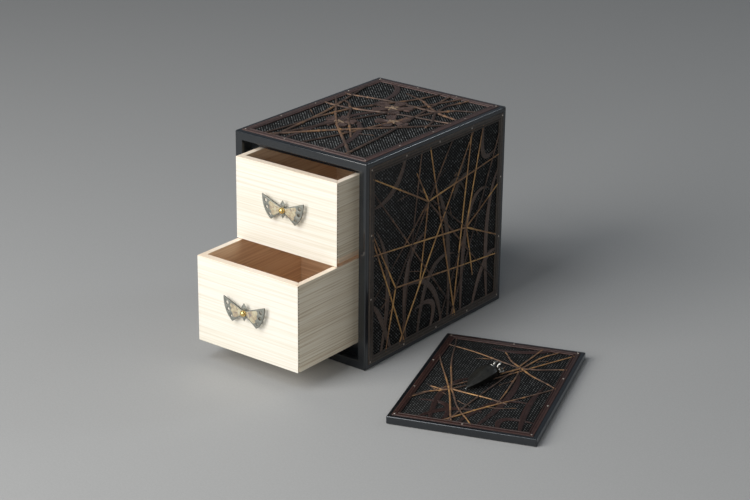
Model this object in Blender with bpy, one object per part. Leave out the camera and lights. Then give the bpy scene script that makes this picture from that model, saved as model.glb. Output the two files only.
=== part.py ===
"""A lacquered seal box: a cabinet with two pull-out drawers, and the lid of its front lying beside it.

Metres, +Z up. The origin is the centre of the cabinet's underside, and its open front faces -Y.
Openwork plates of autumn grasses lie over a woven ground in the cabinet's top, sides and back,
and in the lid. The drawers stand open, as they do when the box is shown.
"""
import math

import bmesh
import bpy
from mathutils import Matrix, Vector
from mathutils.geometry import delaunay_2d_cdt

# Cabinet
CASE_WIDTH = 0.1535
CASE_DEPTH = 0.2182
CASE_HEIGHT = 0.2000
RIM = 0.0085                 # flat frame around the front opening
EDGE_ROUND = 0.0014          # softened outer edges
LEDGE_SIDE = 0.0088          # step behind the lid, at each side
LEDGE_BOTTOM = 0.0108
LEDGE_TOP = 0.0075
LIP = 0.0036                 # front lip, in front of the lid's grooves
LEDGE_LAND = 0.0005          # flat between the groove and the ledge
BACK_WALL = 0.0173
BAY_BACK_BOARD = 0.0060
SHELF = 0.0026
SHELF_HOUSING = 0.0020       # how far the shelf and the bay's back are let into the walls

# Lid, which drops into grooves at the top and the bottom of the opening
LID_THICKNESS = 0.0075
LID_SIDE_PLAY = 0.00125
LID_GROOVE_PLAY = 0.0004
LID_SEAT = 0.0020            # depth of the bottom groove
LID_TOP_HOLD = 0.0030        # how far the seated lid still reaches into the top groove
LID_LIFT_PLAY = 0.0005
LID_CHAMFER = 0.0012
LID_PLACE = (0.1883, -0.0712)
LID_TURN = math.radians(19.34)

# Drawers
DRAWER_PLAY = 0.0004         # all round each drawer
DRAWER_LENGTH = 0.1460
UPPER_FRONT_HEIGHT = 0.0795
FRONT_GAP = 0.0007           # between the two drawer fronts
DRAWER_BOARD = 0.0055
FRONT_BOARD = 0.0076
DRAWER_BOTTOM = 0.0048
FRONT_RABBET = 0.0027        # what is left of the front board before the bottom board
UPPER_PULLED_OUT = 0.0194    # how far each front stands out before the cabinet's front
LOWER_PULLED_OUT = 0.0740
FIT = 0.0003                 # between pieces that touch

# Openwork and its woven ground
CASE_MARGIN = 0.0047         # black edge outside each openwork plate
LID_MARGIN = 0.0040
GROUND_RECESS = 0.0018
GROUND = 0.0008
PLATE = 0.0012
BAND = 0.0070                # frame of a case plate
LID_BAND = 0.0060
PLATE_CORNER = 0.0012
STEM = 0.0018
BLADE = 0.0060
FLOWER = 0.0205              # radius of the largest bellflower
DRAGONFLY = 0.0340           # length of its body

# Pulls
WING_SPAN = 0.0243           # from the middle of the butterfly to a wing's tip
WING_RISE = 0.0112
WING_DROP = 0.0116
WING_PLATE = 0.0011
WING_HOLE = 0.0014
PULL_STANDOFF = 0.0034
PULL_POST_RADIUS = 0.0016
PULL_ABOVE_MIDDLE = 0.0020
PULL_LID_PLAY = 0.0012       # between a closed drawer's pull and the lid
BODY_WIDTH = 0.0046          # the butterfly's body, at its widest
BEAD_RADIUS = 0.0026
KNOB_LENGTH = 0.0330
KNOB_WIDTH = 0.0160
KNOB_SHOULDER = 0.0130       # height of the folded wings at the shoulders
KNOB_TAIL = 0.0024
KNOB_HEAD = 0.0066         # radius of the rounded thorax and head
KNOB_HEAD_RISE = 0.0115
KNOB_PLACE = (-0.0083, -0.0061)
KNOB_TURN = math.radians(-25)

# Worked out from the sizes above
FRONT_Y = -CASE_DEPTH / 2
BACK_Y = CASE_DEPTH / 2
GROOVE = LID_THICKNESS + 2 * LID_GROOVE_PLAY
REBATE = LIP + GROOVE + LEDGE_LAND
OPENING_WIDTH = CASE_WIDTH - 2 * RIM
OPENING_HEIGHT = CASE_HEIGHT - 2 * RIM
TOP_GROOVE = LID_TOP_HOLD + LID_SEAT + LID_LIFT_PLAY
BAY_WIDTH = OPENING_WIDTH - 2 * LEDGE_SIDE
BAY_FLOOR = RIM + LEDGE_BOTTOM
BAY_TOP = CASE_HEIGHT - RIM - LEDGE_TOP
PULL_REACH = PULL_STANDOFF + WING_PLATE + FIT + BEAD_RADIUS
CLOSED_Y = FRONT_Y + LIP + GROOVE + PULL_LID_PLAY + PULL_REACH   # a closed drawer's face
BAY_BACK_Y = CLOSED_Y + DRAWER_LENGTH + 2 * FIT
LID_WIDTH = OPENING_WIDTH - 2 * LID_SIDE_PLAY
LID_HEIGHT = OPENING_HEIGHT + LID_SEAT + LID_TOP_HOLD
DRAWER_WIDTH = BAY_WIDTH - 2 * DRAWER_PLAY
UPPER_TOP = BAY_TOP - DRAWER_PLAY
UPPER_FRONT_FOOT = UPPER_TOP - UPPER_FRONT_HEIGHT
LOWER_TOP = UPPER_FRONT_FOOT - FRONT_GAP
LOWER_FOOT = BAY_FLOOR + DRAWER_PLAY
SHELF_FOOT = LOWER_TOP + DRAWER_PLAY
SHELF_TOP = SHELF_FOOT + SHELF
UPPER_FOOT = SHELF_TOP + DRAWER_PLAY


def clear_scene():
    for thing in list(bpy.data.objects):
        bpy.data.objects.remove(thing, do_unlink=True)


def material(name, colour, roughness, metallic=0.0):
    made = bpy.data.materials.new(name)
    made.use_nodes = True
    shader = made.node_tree.nodes["Principled BSDF"]
    shader.inputs["Base Color"].default_value = (*colour, 1.0)
    shader.inputs["Roughness"].default_value = roughness
    shader.inputs["Metallic"].default_value = metallic
    return made


def add_object(name, mesh, finish):
    thing = bpy.data.objects.new(name, mesh)
    bpy.context.scene.collection.objects.link(thing)
    if finish:
        mesh.materials.append(finish)
    return thing


def mesh_of(name, points, faces):
    mesh = bpy.data.meshes.new(name)
    mesh.from_pydata([tuple(p) for p in points], [], faces)
    mesh.validate()
    return mesh


def block(name, low, high, finish=None):
    """A plain rectangular board between two corners."""
    size = [b - a for a, b in zip(low, high)]
    mesh = bpy.data.meshes.new(name)
    shape = bmesh.new()
    bmesh.ops.create_cube(shape, size=1.0)
    for v in shape.verts:
        v.co = Vector([a + (c + 0.5) * s for a, c, s in zip(low, v.co, size)])
    shape.to_mesh(mesh)
    shape.free()
    return add_object(name, mesh, finish)


def prism(name, outline, foot, top, finish=None):
    """A flat outline, given counter-clockwise, raised from z = foot to z = top."""
    n = len(outline)
    points = [(x, y, foot) for x, y in outline] + [(x, y, top) for x, y in outline]
    walls = [(i, (i + 1) % n, n + (i + 1) % n, n + i) for i in range(n)]
    faces = [tuple(reversed(range(n))), tuple(range(n, 2 * n))] + walls
    return add_object(name, mesh_of(name, points, faces), finish)


def cut(body, cutter):
    """Take the cutter's shape out of the body, and hide the cutter."""
    cutter.hide_render = True
    cutter.display_type = "WIRE"
    step = body.modifiers.new("cut " + cutter.name, "BOOLEAN")
    step.operation = "DIFFERENCE"
    step.solver = "EXACT"
    step.object = cutter


def join(body, tool):
    cut(body, tool)
    body.modifiers[-1].operation = "UNION"


def soften(body, width, segments=2):
    step = body.modifiers.new("softened edges", "BEVEL")
    step.width = width
    step.segments = segments
    step.limit_method = "ANGLE"
    step.angle_limit = math.radians(40)
    step.use_clamp_overlap = False


def around(count, radius, centre=(0.0, 0.0), turn=0.0):
    """Points on a circle."""
    angles = [turn + 2 * math.pi * i / count for i in range(count)]
    return [(centre[0] + radius * math.cos(a), centre[1] + radius * math.sin(a)) for a in angles]


def inside(point, outline):
    """Whether a point lies in a flat outline, by counting the edges to its right."""
    x, y = point
    odd = False
    for (ax, ay), (bx, by) in zip(outline, outline[1:] + outline[:1]):
        if (ay > y) != (by > y) and x < ax + (y - ay) * (bx - ax) / (by - ay):
            odd = not odd
    return odd


def triangles_of(outlines, edges, points, wanted):
    """Triangles of the plane that keep every edge, less those whose middle isn't wanted."""
    made = delaunay_2d_cdt([Vector(p) for p in points], edges, [], 0, 1e-6, False)
    places = [tuple(p) for p in made[0]]
    kept = []
    for face in made[2]:
        middle = (sum(places[i][0] for i in face) / 3, sum(places[i][1] for i in face) / 3)
        if wanted(middle, outlines):
            kept.append(tuple(face))
    return places, kept


def rim_edges(faces):
    """Edges that only one face uses, in that face's direction."""
    directed = {(a, b) for f in faces for a, b in zip(f, f[1:] + f[:1])}
    return [(a, b) for a, b in directed if (b, a) not in directed]


def without_straight_points(places, edges):
    """Boundary edges with each point that lies on a straight stretch left out."""
    after = dict(edges)
    before = {b: a for a, b in edges}
    for i in list(after):
        a, b = before[i], after[i]
        one = Vector(places[i]) - Vector(places[a])
        two = Vector(places[b]) - Vector(places[i])
        if abs(one.cross(two)) < 1e-5 * one.length * two.length and one.dot(two) > 0:
            after[a], before[b] = b, a
            del after[i], before[i]
    return list(after.items())


def fretted_plate(name, outlines, wanted, thickness, finish):
    """A flat plate, z = 0 to its thickness, of all that is wanted of many crossing outlines."""
    points, edges = [], []
    for outline in outlines:
        first = len(points)
        points += outline
        edges += [(first + i, first + (i + 1) % len(outline)) for i in range(len(outline))]
    places, faces = triangles_of(outlines, edges, points, wanted)
    edges = without_straight_points(places, rim_edges(faces))
    used = sorted({i for e in edges for i in e})
    number = {old: new for new, old in enumerate(used)}
    loops = [(number[a], number[b]) for a, b in edges]
    places, faces = triangles_of(outlines, loops, [places[i] for i in used], wanted)
    n = len(places)
    solid = [tuple(i + n for i in f) for f in faces] + [tuple(reversed(f)) for f in faces]
    solid += [(a, b, b + n, a + n) for a, b in rim_edges(faces)]
    both = [(x, y, 0.0) for x, y in places] + [(x, y, thickness) for x, y in places]
    return add_object(name, mesh_of(name, both, solid), finish)


def in_openwork(point, outlines):
    """The frame band is what is in the first outline and not in the second; the rest is added."""
    outer, field, *growth = outlines
    if not inside(point, outer):
        return False
    return not inside(point, field) or any(inside(point, g) for g in growth)


def in_pierced(point, outlines, solids):
    """In one of the first solid outlines, and in none of the holes after them."""
    return (any(inside(point, o) for o in outlines[:solids])
            and not any(inside(point, o) for o in outlines[solids:]))


def rounded_rectangle(half_width, half_height, corner, steps=2):
    outline = []
    for k, (sx, sy) in enumerate(((1, 1), (-1, 1), (-1, -1), (1, -1))):
        for i in range(steps + 1):
            a = (k + i / steps) * math.pi / 2
            outline.append((sx * (half_width - corner) + corner * math.cos(a),
                            sy * (half_height - corner) + corner * math.sin(a)))
    return outline


def curve_points(start, pull, end, count):
    """Points on the curve that leaves start towards pull and arrives at end from it."""
    steps = [i / count for i in range(count + 1)]
    return [((1 - t) ** 2 * start[0] + 2 * t * (1 - t) * pull[0] + t * t * end[0],
             (1 - t) ** 2 * start[1] + 2 * t * (1 - t) * pull[1] + t * t * end[1]) for t in steps]


def ribbon(path, widths):
    """The outline of a strip along a path, as wide at each point as widths says."""
    left, right = [], []
    for i, (x, y) in enumerate(path):
        ax, ay = path[max(i - 1, 0)]
        bx, by = path[min(i + 1, len(path) - 1)]
        long = math.hypot(bx - ax, by - ay)
        nx, ny = -(by - ay) / long * widths[i] / 2, (bx - ax) / long * widths[i] / 2
        left.append((x + nx, y + ny))
        right.append((x - nx, y - ny))
    return right + left[::-1]


def to_frame(root, angle, half_width, half_height):
    """Where a straight stem from the root meets the frame of the field, just under its band."""
    over = BAND / 3
    dx, dy = math.cos(angle), math.sin(angle)
    reach = []
    if abs(dx) > 1e-6:
        reach.append((math.copysign(half_width + over, dx) - root[0]) / dx)
    if abs(dy) > 1e-6:
        reach.append((math.copysign(half_height + over, dy) - root[1]) / dy)
    far = min(reach)
    return root[0] + far * dx, root[1] + far * dy


def fan_of_stems(root, first, last, count, half_width, half_height):
    """Straight stems that spread from one root to the frame, a little apart at the root."""
    x, y = root[0] * half_width, root[1] * half_height
    made = []
    for i in range(count):
        angle = math.radians(first + (last - first) * (i + 0.23 * math.sin(5.1 * i)) / max(count - 1, 1))
        foot = (x + (i - (count - 1) / 2) * 1.6 * STEM, y)
        back = to_frame(foot, angle + math.pi, half_width, half_height)
        start = back if abs(root[1]) > 0.99 or abs(root[0]) > 0.99 else foot
        end = to_frame(foot, angle, half_width, half_height)
        made.append(ribbon([start, end], [STEM, STEM * 0.8]))
    return made


def burst_of_stems(root, first, count, half_width, half_height):
    """Straight twigs that spread all round from one knot, every third of them short of the frame."""
    x, y = root[0] * half_width, root[1] * half_height
    made = []
    for i in range(count):
        angle = math.radians(first + 360 * (i + 0.2 * math.sin(3.7 * i)) / count)
        end = to_frame((x, y), angle, half_width, half_height)
        share = 0.62 if i % 3 == 2 else 1.0
        tip = (x + share * (end[0] - x), y + share * (end[1] - y))
        made.append(ribbon([(x, y), tip], [STEM, STEM * 0.7]))
    return made


def arching_blade(root, pull, tip, half_width, half_height, width):
    """A long leaf that rises from its root, arches over and ends in a point."""
    place = [(p[0] * half_width, p[1] * half_height) for p in (root, pull, tip)]
    path = curve_points(*place, 7)
    swell = [0.45, 0.75, 0.95, 1.0, 0.92, 0.75, 0.48, 0.1]
    return ribbon(path, [width * s for s in swell])


def bellflower(centre, radius, turn):
    """Five joined petals, each broad at its shoulders and drawn to a point."""
    outline = []
    for petal in range(5):
        for share, reach in ((-0.5, 0.46), (-0.36, 0.76), (-0.16, 0.88), (0.0, 1.0), (0.16, 0.88), (0.36, 0.76)):
            angle = turn + 2 * math.pi * (petal + share) / 5
            outline.append((centre[0] + radius * reach * math.cos(angle),
                            centre[1] + radius * reach * math.sin(angle)))
    return outline


def petal_leaf(centre, turn, length, width):
    """A small pointed leaf."""
    outline = []
    for i in range(8):
        a = 2 * math.pi * i / 8
        x = length / 2 * math.cos(a)
        y = width / 2 * math.sin(a) * (1 - 0.25 * math.cos(a))
        outline.append((centre[0] + x * math.cos(turn) - y * math.sin(turn),
                        centre[1] + x * math.sin(turn) + y * math.cos(turn)))
    return outline


def dragonfly(centre, turn, length):
    """A body and four wings."""
    parts = [petal_leaf(centre, turn, length, length * 0.13)]
    for side in (1, -1):
        for along, spread in ((0.20, 74), (0.05, 112)):
            angle = turn + side * math.radians(spread)
            reach = length * 0.27
            root = (centre[0] + along * length * math.cos(turn), centre[1] + along * length * math.sin(turn))
            parts.append(petal_leaf((root[0] + reach * math.cos(angle), root[1] + reach * math.sin(angle)),
                                    angle, length * 0.56, length * 0.15))
    return parts


# Each design is set out as shares of the field's half width and half height, from its middle.
# A fan is (root, first angle, last angle, stems), a burst (knot, first angle, twigs),
# a blade (root, pull, tip), and a flower (middle, share of the largest flower's radius).
TOP_DESIGN = {
    "fans": [((-0.62, -1.0), 48, 104, 3), ((0.72, -1.0), 98, 142, 2)],
    "bursts": [((-0.52, 0.10), 12, 6), ((0.56, 0.52), 40, 7)],
    "blades": [((-0.40, -1.04), (-0.50, 0.1), (0.05, 0.30)), ((0.46, -1.04), (0.30, -0.2), (-0.25, -0.15)),
               ((-0.86, 1.04), (-0.3, 0.9), (-0.42, 0.22))],
    "flowers": [((-0.06, 0.36), 1.0), ((0.34, 0.02), 0.86), ((-0.26, -0.30), 0.78)],
}
RIGHT_DESIGN = {
    "fans": [((-0.55, -1.0), 58, 118, 3), ((0.30, -1.0), 66, 128, 4)],
    "bursts": [((-0.16, 0.44), 8, 7), ((0.48, -0.06), 30, 7), ((-0.66, -0.36), 55, 5)],
    "blades": [((-0.48, -1.04), (-0.62, 0.0), (-0.16, 0.12)), ((-0.30, -1.04), (-0.18, -0.1), (0.30, -0.30)),
               ((0.10, -1.04), (-0.02, -0.3), (-0.56, -0.42)), ((0.42, -1.04), (0.40, 0.5), (0.86, 0.28)),
               ((0.62, -1.04), (0.80, -0.4), (1.04, -0.5)), ((-0.72, -1.04), (-0.90, -0.5), (-1.04, -0.42)),
               ((0.20, -1.04), (0.26, 0.3), (-0.10, 0.62)), ((-0.88, -1.04), (-0.64, -0.1), (-0.96, 0.36)),
               ((0.88, -1.04), (0.74, 0.1), (1.04, 0.50)), ((-0.10, -1.04), (0.10, -0.62), (-0.34, -0.72)),
               ((-0.52, 1.04), (-0.66, 0.60), (-1.04, 0.62)), ((0.74, 1.04), (0.66, 0.52), (0.94, 0.70))],
    "dragonfly": ((0.36, 0.50), 128),
}
LEFT_DESIGN = {
    "fans": [((0.40, -1.0), 70, 122, 3)],
    "bursts": [((-0.40, 0.30), 20, 5)],
    "blades": [((0.30, -1.04), (0.10, 0.0), (-0.40, 0.10)), ((0.55, -1.04), (0.70, 0.1), (0.20, 0.42)),
               ((-0.50, -1.04), (-0.70, -0.3), (-0.20, -0.10))],
}
BACK_DESIGN = {
    "fans": [((-0.35, -1.0), 62, 108, 3)],
    "bursts": [((0.36, 0.34), 50, 5)],
    "blades": [((-0.20, -1.04), (0.0, 0.1), (0.50, 0.02)), ((0.50, -1.04), (0.60, -0.3), (0.05, -0.28))],
}
LID_DESIGN = {
    "fans": [((-0.25, -1.0), 50, 116, 3)],
    "bursts": [((0.34, 0.46), 15, 7), ((-0.50, -0.28), 50, 6)],
    "blades": [((-0.10, -1.04), (0.20, -0.2), (0.78, -0.36)), ((-0.52, -1.04), (-0.80, -0.1), (-0.30, 0.06)),
               ((0.20, -1.04), (0.60, 0.0), (0.30, 0.40)), ((0.70, 1.04), (0.15, 0.8), (-0.30, 0.88)),
               ((-0.74, -1.04), (-0.40, -0.60), (0.16, -0.70)), ((0.56, -1.04), (0.30, -0.66), (1.04, -0.78)),
               ((0.88, -1.04), (0.70, -0.4), (0.86, 0.12)), ((-0.34, -1.04), (-0.20, -0.50), (-0.88, -0.62))],
}


def growth_of(design, half_width, half_height):
    """The outlines of all that grows across one field."""
    made = []
    for fan in design["fans"]:
        made += fan_of_stems(*fan, half_width, half_height)
    for burst in design["bursts"]:
        made += burst_of_stems(*burst, half_width, half_height)
    for blade in design["blades"]:
        made.append(arching_blade(*blade, half_width, half_height, BLADE))
    for k, ((x, y), share) in enumerate(design.get("flowers", [])):
        made.append(bellflower((x * half_width, y * half_height), FLOWER * share, 0.4 + 0.7 * k))
    if "dragonfly" in design:
        (x, y), turn = design["dragonfly"]
        made += dragonfly((x * half_width, y * half_height), math.radians(turn), DRAGONFLY)
    return made


def dressed_face(name, carcass, width, height, band, design, origin, across, up, finishes):
    """A recess in one face of the carcass, its woven ground and the openwork plate over it.

    The origin is the middle of the face, and across and up are the directions of its sides.
    """
    out = Vector(across).cross(Vector(up))
    frame = Matrix((Vector(across), Vector(up), out)).transposed().to_4x4()
    frame.translation = Vector(origin)
    play = FIT
    cutter = block(name + "_recess", (-width / 2 - play, -height / 2 - play, -GROUND_RECESS),
                   (width / 2 + play, height / 2 + play, GROUND_RECESS))
    cutter.matrix_world = frame
    cut(carcass, cutter)
    ground_foot = FIT - GROUND_RECESS
    ground = block(name + "_ground", (-width / 2, -height / 2, ground_foot),
                   (width / 2, height / 2, ground_foot + GROUND), finishes["woven"])
    ground.matrix_world = frame
    field = (width / 2 - band, height / 2 - band)
    outlines = [rounded_rectangle(width / 2, height / 2, PLATE_CORNER),
                rounded_rectangle(*field, PLATE_CORNER / 2, 1)] + growth_of(design, *field)
    plate = fretted_plate(name + "_openwork", outlines, in_openwork, PLATE, finishes["openwork"])
    plate.matrix_world = frame @ Matrix.Translation((0, 0, ground_foot + GROUND + FIT))


def cabinet(finishes):
    body = block("cabinet", (-CASE_WIDTH / 2, FRONT_Y, 0), (CASE_WIDTH / 2, BACK_Y, CASE_HEIGHT),
                 finishes["lacquer"])
    soften(body, EDGE_ROUND)
    before = FRONT_Y - RIM
    half = OPENING_WIDTH / 2
    cut(body, block("lid_rebate", (-half, before, RIM), (half, FRONT_Y + REBATE, CASE_HEIGHT - RIM)))
    cut(body, block("bay", (-BAY_WIDTH / 2, before, BAY_FLOOR), (BAY_WIDTH / 2, BACK_Y - BACK_WALL, BAY_TOP)))
    groove = (FRONT_Y + LIP, FRONT_Y + LIP + GROOVE)
    cut(body, block("bottom_groove", (-half, groove[0], RIM - LID_SEAT), (half, groove[1], RIM + LID_SEAT)))
    cut(body, block("top_groove", (-half, groove[0], CASE_HEIGHT - RIM - LID_SEAT),
                    (half, groove[1], CASE_HEIGHT - RIM + TOP_GROOVE)))
    housed = BAY_WIDTH / 2 + SHELF_HOUSING
    shelf_front = CLOSED_Y + DRAWER_BOARD + FIT
    cut(body, block("shelf_housing", (-housed - FIT, shelf_front - FIT, SHELF_FOOT - FIT),
                    (housed + FIT, BAY_BACK_Y, SHELF_TOP + FIT)))
    cut(body, block("back_board_housing", (-housed - FIT, BAY_BACK_Y - FIT, BAY_FLOOR - SHELF_HOUSING - FIT),
                    (housed + FIT, BAY_BACK_Y + BAY_BACK_BOARD + FIT, BAY_TOP + SHELF_HOUSING + FIT)))
    block("drawer_shelf", (-housed, shelf_front, SHELF_FOOT), (housed, BAY_BACK_Y - FIT, SHELF_TOP),
          finishes["lacquer"])
    block("bay_back_board", (-housed, BAY_BACK_Y, BAY_FLOOR - SHELF_HOUSING),
          (housed, BAY_BACK_Y + BAY_BACK_BOARD, BAY_TOP + SHELF_HOUSING), finishes["lacquer"])
    wide, deep, high = (s - 2 * CASE_MARGIN for s in (CASE_WIDTH, CASE_DEPTH, CASE_HEIGHT))
    middle = CASE_HEIGHT / 2
    dressed_face("top", body, wide, deep, BAND, TOP_DESIGN, (0, 0, CASE_HEIGHT),
                 (1, 0, 0), (0, 1, 0), finishes)
    dressed_face("right", body, deep, high, BAND, RIGHT_DESIGN, (CASE_WIDTH / 2, 0, middle),
                 (0, 1, 0), (0, 0, 1), finishes)
    dressed_face("left", body, deep, high, BAND, LEFT_DESIGN, (-CASE_WIDTH / 2, 0, middle),
                 (0, -1, 0), (0, 0, 1), finishes)
    dressed_face("back", body, wide, high, BAND, BACK_DESIGN, (0, BACK_Y, middle),
                 (-1, 0, 0), (0, 0, 1), finishes)


def drawer(name, foot, front_foot, top, pulled_out, finishes):
    """Five boards: a front mitred to the sides, a back between them, and a bottom under all."""
    half, board, front = DRAWER_WIDTH / 2, DRAWER_BOARD, FRONT_Y - pulled_out
    back = front + DRAWER_LENGTH
    floor = foot + DRAWER_BOTTOM
    lap = front + FRONT_RABBET
    cedar = finishes["cedar"]
    block(name + "_bottom", (-half, lap + FIT, foot), (half, back, floor), cedar)
    mitre = FIT * math.hypot(board, FRONT_BOARD) / board
    for side, label in ((1, "right"), (-1, "left")):
        outline = [(side * half, front + mitre), (side * half, back),
                   (side * (half - board), back), (side * (half - board), front + FRONT_BOARD + mitre)]
        if side < 0:
            outline.reverse()
        prism(name + "_" + label + "_side", outline, floor + FIT, top, cedar)
    block(name + "_back", (board + FIT - half, back - board, floor + FIT), (half - board - FIT, back, top), cedar)
    drawer_front(name, half, front, front_foot, floor + FIT, top, cedar)
    butterfly_pull(name, front, (front_foot + top) / 2 + PULL_ABOVE_MIDDLE, finishes)


def drawer_front(name, half, front, foot, step, top, finish):
    """The front board: mitred above the bottom board, and thinner and full width before it."""
    lap, back, inner = front + FRONT_RABBET, front + FRONT_BOARD, half - DRAWER_BOARD
    meet = half - FRONT_RABBET * DRAWER_BOARD / FRONT_BOARD
    points = [(-half, front, foot), (half, front, foot), (half, lap, foot), (-half, lap, foot),
              (-half, front, step), (half, front, step), (half, lap, step), (-half, lap, step),
              (meet, lap, step), (-meet, lap, step), (inner, back, step), (-inner, back, step),
              (-half, front, top), (half, front, top), (inner, back, top), (-inner, back, top)]
    faces = [(0, 3, 2, 1), (0, 1, 5, 4), (1, 2, 6, 5), (3, 0, 4, 7), (2, 3, 7, 9, 8, 6), (5, 6, 8), (4, 9, 7),
             (8, 9, 11, 10), (4, 5, 13, 12), (5, 8, 10, 14, 13), (10, 11, 15, 14), (11, 9, 4, 12, 15),
             (12, 13, 14, 15)]
    add_object(name + "_front", mesh_of(name + "_front", points, faces), finish)


def wing_outline(side):
    """One wing, from the body to its tip, round its outer edge and back."""
    tip, corner = (WING_SPAN, WING_RISE), (WING_SPAN * 0.58, -WING_DROP)
    outer = curve_points(tip, (WING_SPAN * 0.98, -WING_DROP * 0.35), corner, 5)
    root, narrow = BEAD_RADIUS / 2, BODY_WIDTH / 2
    outline = [(-root, narrow * 0.83), (root, narrow)] + outer + [(root, -narrow)]
    points = [(side * x, z) for x, z in outline]
    return points if side < 0 else points[::-1]


def butterfly_pull(name, front, height, finishes):
    """A pierced butterfly plate that stands off the drawer front on a post, with a bead before it."""
    wide, waist = BODY_WIDTH / 2, BODY_WIDTH / 4
    body = [(0, WING_RISE * 0.78), (-wide, WING_RISE * 0.46), (-waist, 0), (-wide, -WING_DROP * 0.41),
            (0, -WING_DROP * 0.56), (wide, -WING_DROP * 0.41), (waist, 0), (wide, WING_RISE * 0.46)]
    outlines = [wing_outline(1), wing_outline(-1), body]
    for side in (1, -1):
        for share, (x, z) in zip((1.0, 0.86, 0.66), ((0.80, 0.50), (0.76, -0.05), (0.60, -0.60))):
            drop = WING_RISE if z > 0 else WING_DROP
            centre = (side * x * WING_SPAN, z * drop)
            outlines.append(around(8, WING_HOLE * share, centre))
    plate = fretted_plate(name + "_pull_plate", outlines, lambda p, o: in_pierced(p, o, 3), WING_PLATE,
                          finishes["pewter"])
    upright = Matrix.Rotation(math.pi / 2, 4, "X")
    plate.matrix_world = Matrix.Translation((0, front - PULL_STANDOFF, height)) @ upright
    post = prism(name + "_pull_post", around(8, PULL_POST_RADIUS), FIT - PULL_STANDOFF, WING_PLATE / 2)
    post.matrix_world = plate.matrix_world
    join(plate, post)
    bead = dome(name + "_pull_bead", BEAD_RADIUS, BEAD_RADIUS, finishes["gold"])
    bead.matrix_world = Matrix.Translation((0, front - PULL_STANDOFF - WING_PLATE - FIT, height)) @ upright


def dome(name, radius, height, finish, sides=12, rings=4):
    """A rounded head cut flat where it is set, with its flat at z = 0."""
    points, faces = [], []
    for k in range(rings):
        rise = math.pi / 2 * k / rings
        for x, y in around(sides, radius * math.cos(rise)):
            points.append((x, y, height * math.sin(rise)))
    points.append((0, 0, height))
    for k in range(rings - 1):
        for i in range(sides):
            j = (i + 1) % sides
            faces.append((k * sides + i, k * sides + j, (k + 1) * sides + j, (k + 1) * sides + i))
    last = (rings - 1) * sides
    faces += [(last + i, last + (i + 1) % sides, len(points) - 1) for i in range(sides)]
    faces.append(tuple(reversed(range(sides))))
    made = add_object(name, mesh_of(name, points, faces), finish)
    made.data.shade_smooth()
    return made


def lid(finishes):
    """The lid lies on its back beside the cabinet, turned a little."""
    turn = Matrix.Translation((*LID_PLACE, 0)) @ Matrix.Rotation(LID_TURN, 4, "Z")
    board = block("lid_board", (-LID_WIDTH / 2, -LID_HEIGHT / 2, 0), (LID_WIDTH / 2, LID_HEIGHT / 2, LID_THICKNESS),
                  finishes["lacquer"])
    board.matrix_world = turn
    soften(board, LID_CHAMFER, 1)
    across, up = turn.to_3x3() @ Vector((1, 0, 0)), turn.to_3x3() @ Vector((0, 1, 0))
    dressed_face("lid", board, LID_WIDTH - 2 * LID_MARGIN, LID_HEIGHT - 2 * LID_MARGIN, LID_BAND, LID_DESIGN,
                 (*LID_PLACE, LID_THICKNESS), across, up, finishes)
    surface = LID_THICKNESS - GROUND_RECESS + GROUND + PLATE + 3 * FIT
    knob = turn @ Matrix.Translation((*KNOB_PLACE, surface)) @ Matrix.Rotation(KNOB_TURN, 4, "Z")
    wings = folded_wings("lid_knob_wings", finishes["horn"])
    wings.matrix_world = knob
    head = dome("lid_knob_head", KNOB_HEAD, KNOB_HEAD_RISE, finishes["silver"], 10, 4)
    head.matrix_world = knob @ Matrix.Translation((0, KNOB_LENGTH / 2 + KNOB_HEAD + FIT, 0))


def folded_wings(name, finish, stations=8, sides=8):
    """A cicada's folded wings: a ridged body, broad at the shoulders and drawn to a point behind."""
    points = []
    for k in range(stations + 1):
        t = k / stations
        y = KNOB_LENGTH * (0.5 - t)
        swell = max(math.sin(math.pi * (0.25 + 0.75 * t)) ** 0.8, 0.08)
        rise = KNOB_TAIL + (KNOB_SHOULDER - KNOB_TAIL) * math.cos(math.pi * t / 2)
        for i in range(sides):
            a = math.pi * i / (sides - 1)
            points.append((KNOB_WIDTH / 2 * swell * math.cos(a), y, rise * math.sin(a)))
    faces = []
    for k in range(stations):
        for i in range(sides):
            j = (i + 1) % sides
            faces.append((k * sides + i, k * sides + j, (k + 1) * sides + j, (k + 1) * sides + i))
    faces.append(tuple(reversed(range(sides))))
    faces.append(tuple(range(stations * sides, (stations + 1) * sides)))
    made = add_object(name, mesh_of(name, points, faces), finish)
    shape = bmesh.new()
    shape.from_mesh(made.data)
    bmesh.ops.recalc_face_normals(shape, faces=shape.faces)
    shape.to_mesh(made.data)
    shape.free()
    return made


def main():
    clear_scene()
    finishes = {
        "lacquer": material("black lacquer", (0.012, 0.013, 0.014), 0.22),
        "openwork": material("brown lacquered openwork", (0.075, 0.045, 0.040), 0.38),
        "woven": material("woven dark ground", (0.022, 0.023, 0.024), 0.75),
        "cedar": material("pale paulownia", (0.80, 0.72, 0.58), 0.62),
        "pewter": material("grey pewter", (0.42, 0.42, 0.40), 0.45, 0.8),
        "gold": material("gilt bead", (0.80, 0.60, 0.26), 0.25, 1.0),
        "horn": material("dark horn", (0.030, 0.029, 0.027), 0.35),
        "silver": material("silver", (0.72, 0.72, 0.70), 0.25, 1.0),
    }
    cabinet(finishes)
    drawer("upper", UPPER_FOOT, UPPER_FRONT_FOOT, UPPER_TOP, UPPER_PULLED_OUT, finishes)
    drawer("lower", LOWER_FOOT, LOWER_FOOT, LOWER_TOP, LOWER_PULLED_OUT, finishes)
    lid(finishes)


main()
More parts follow.
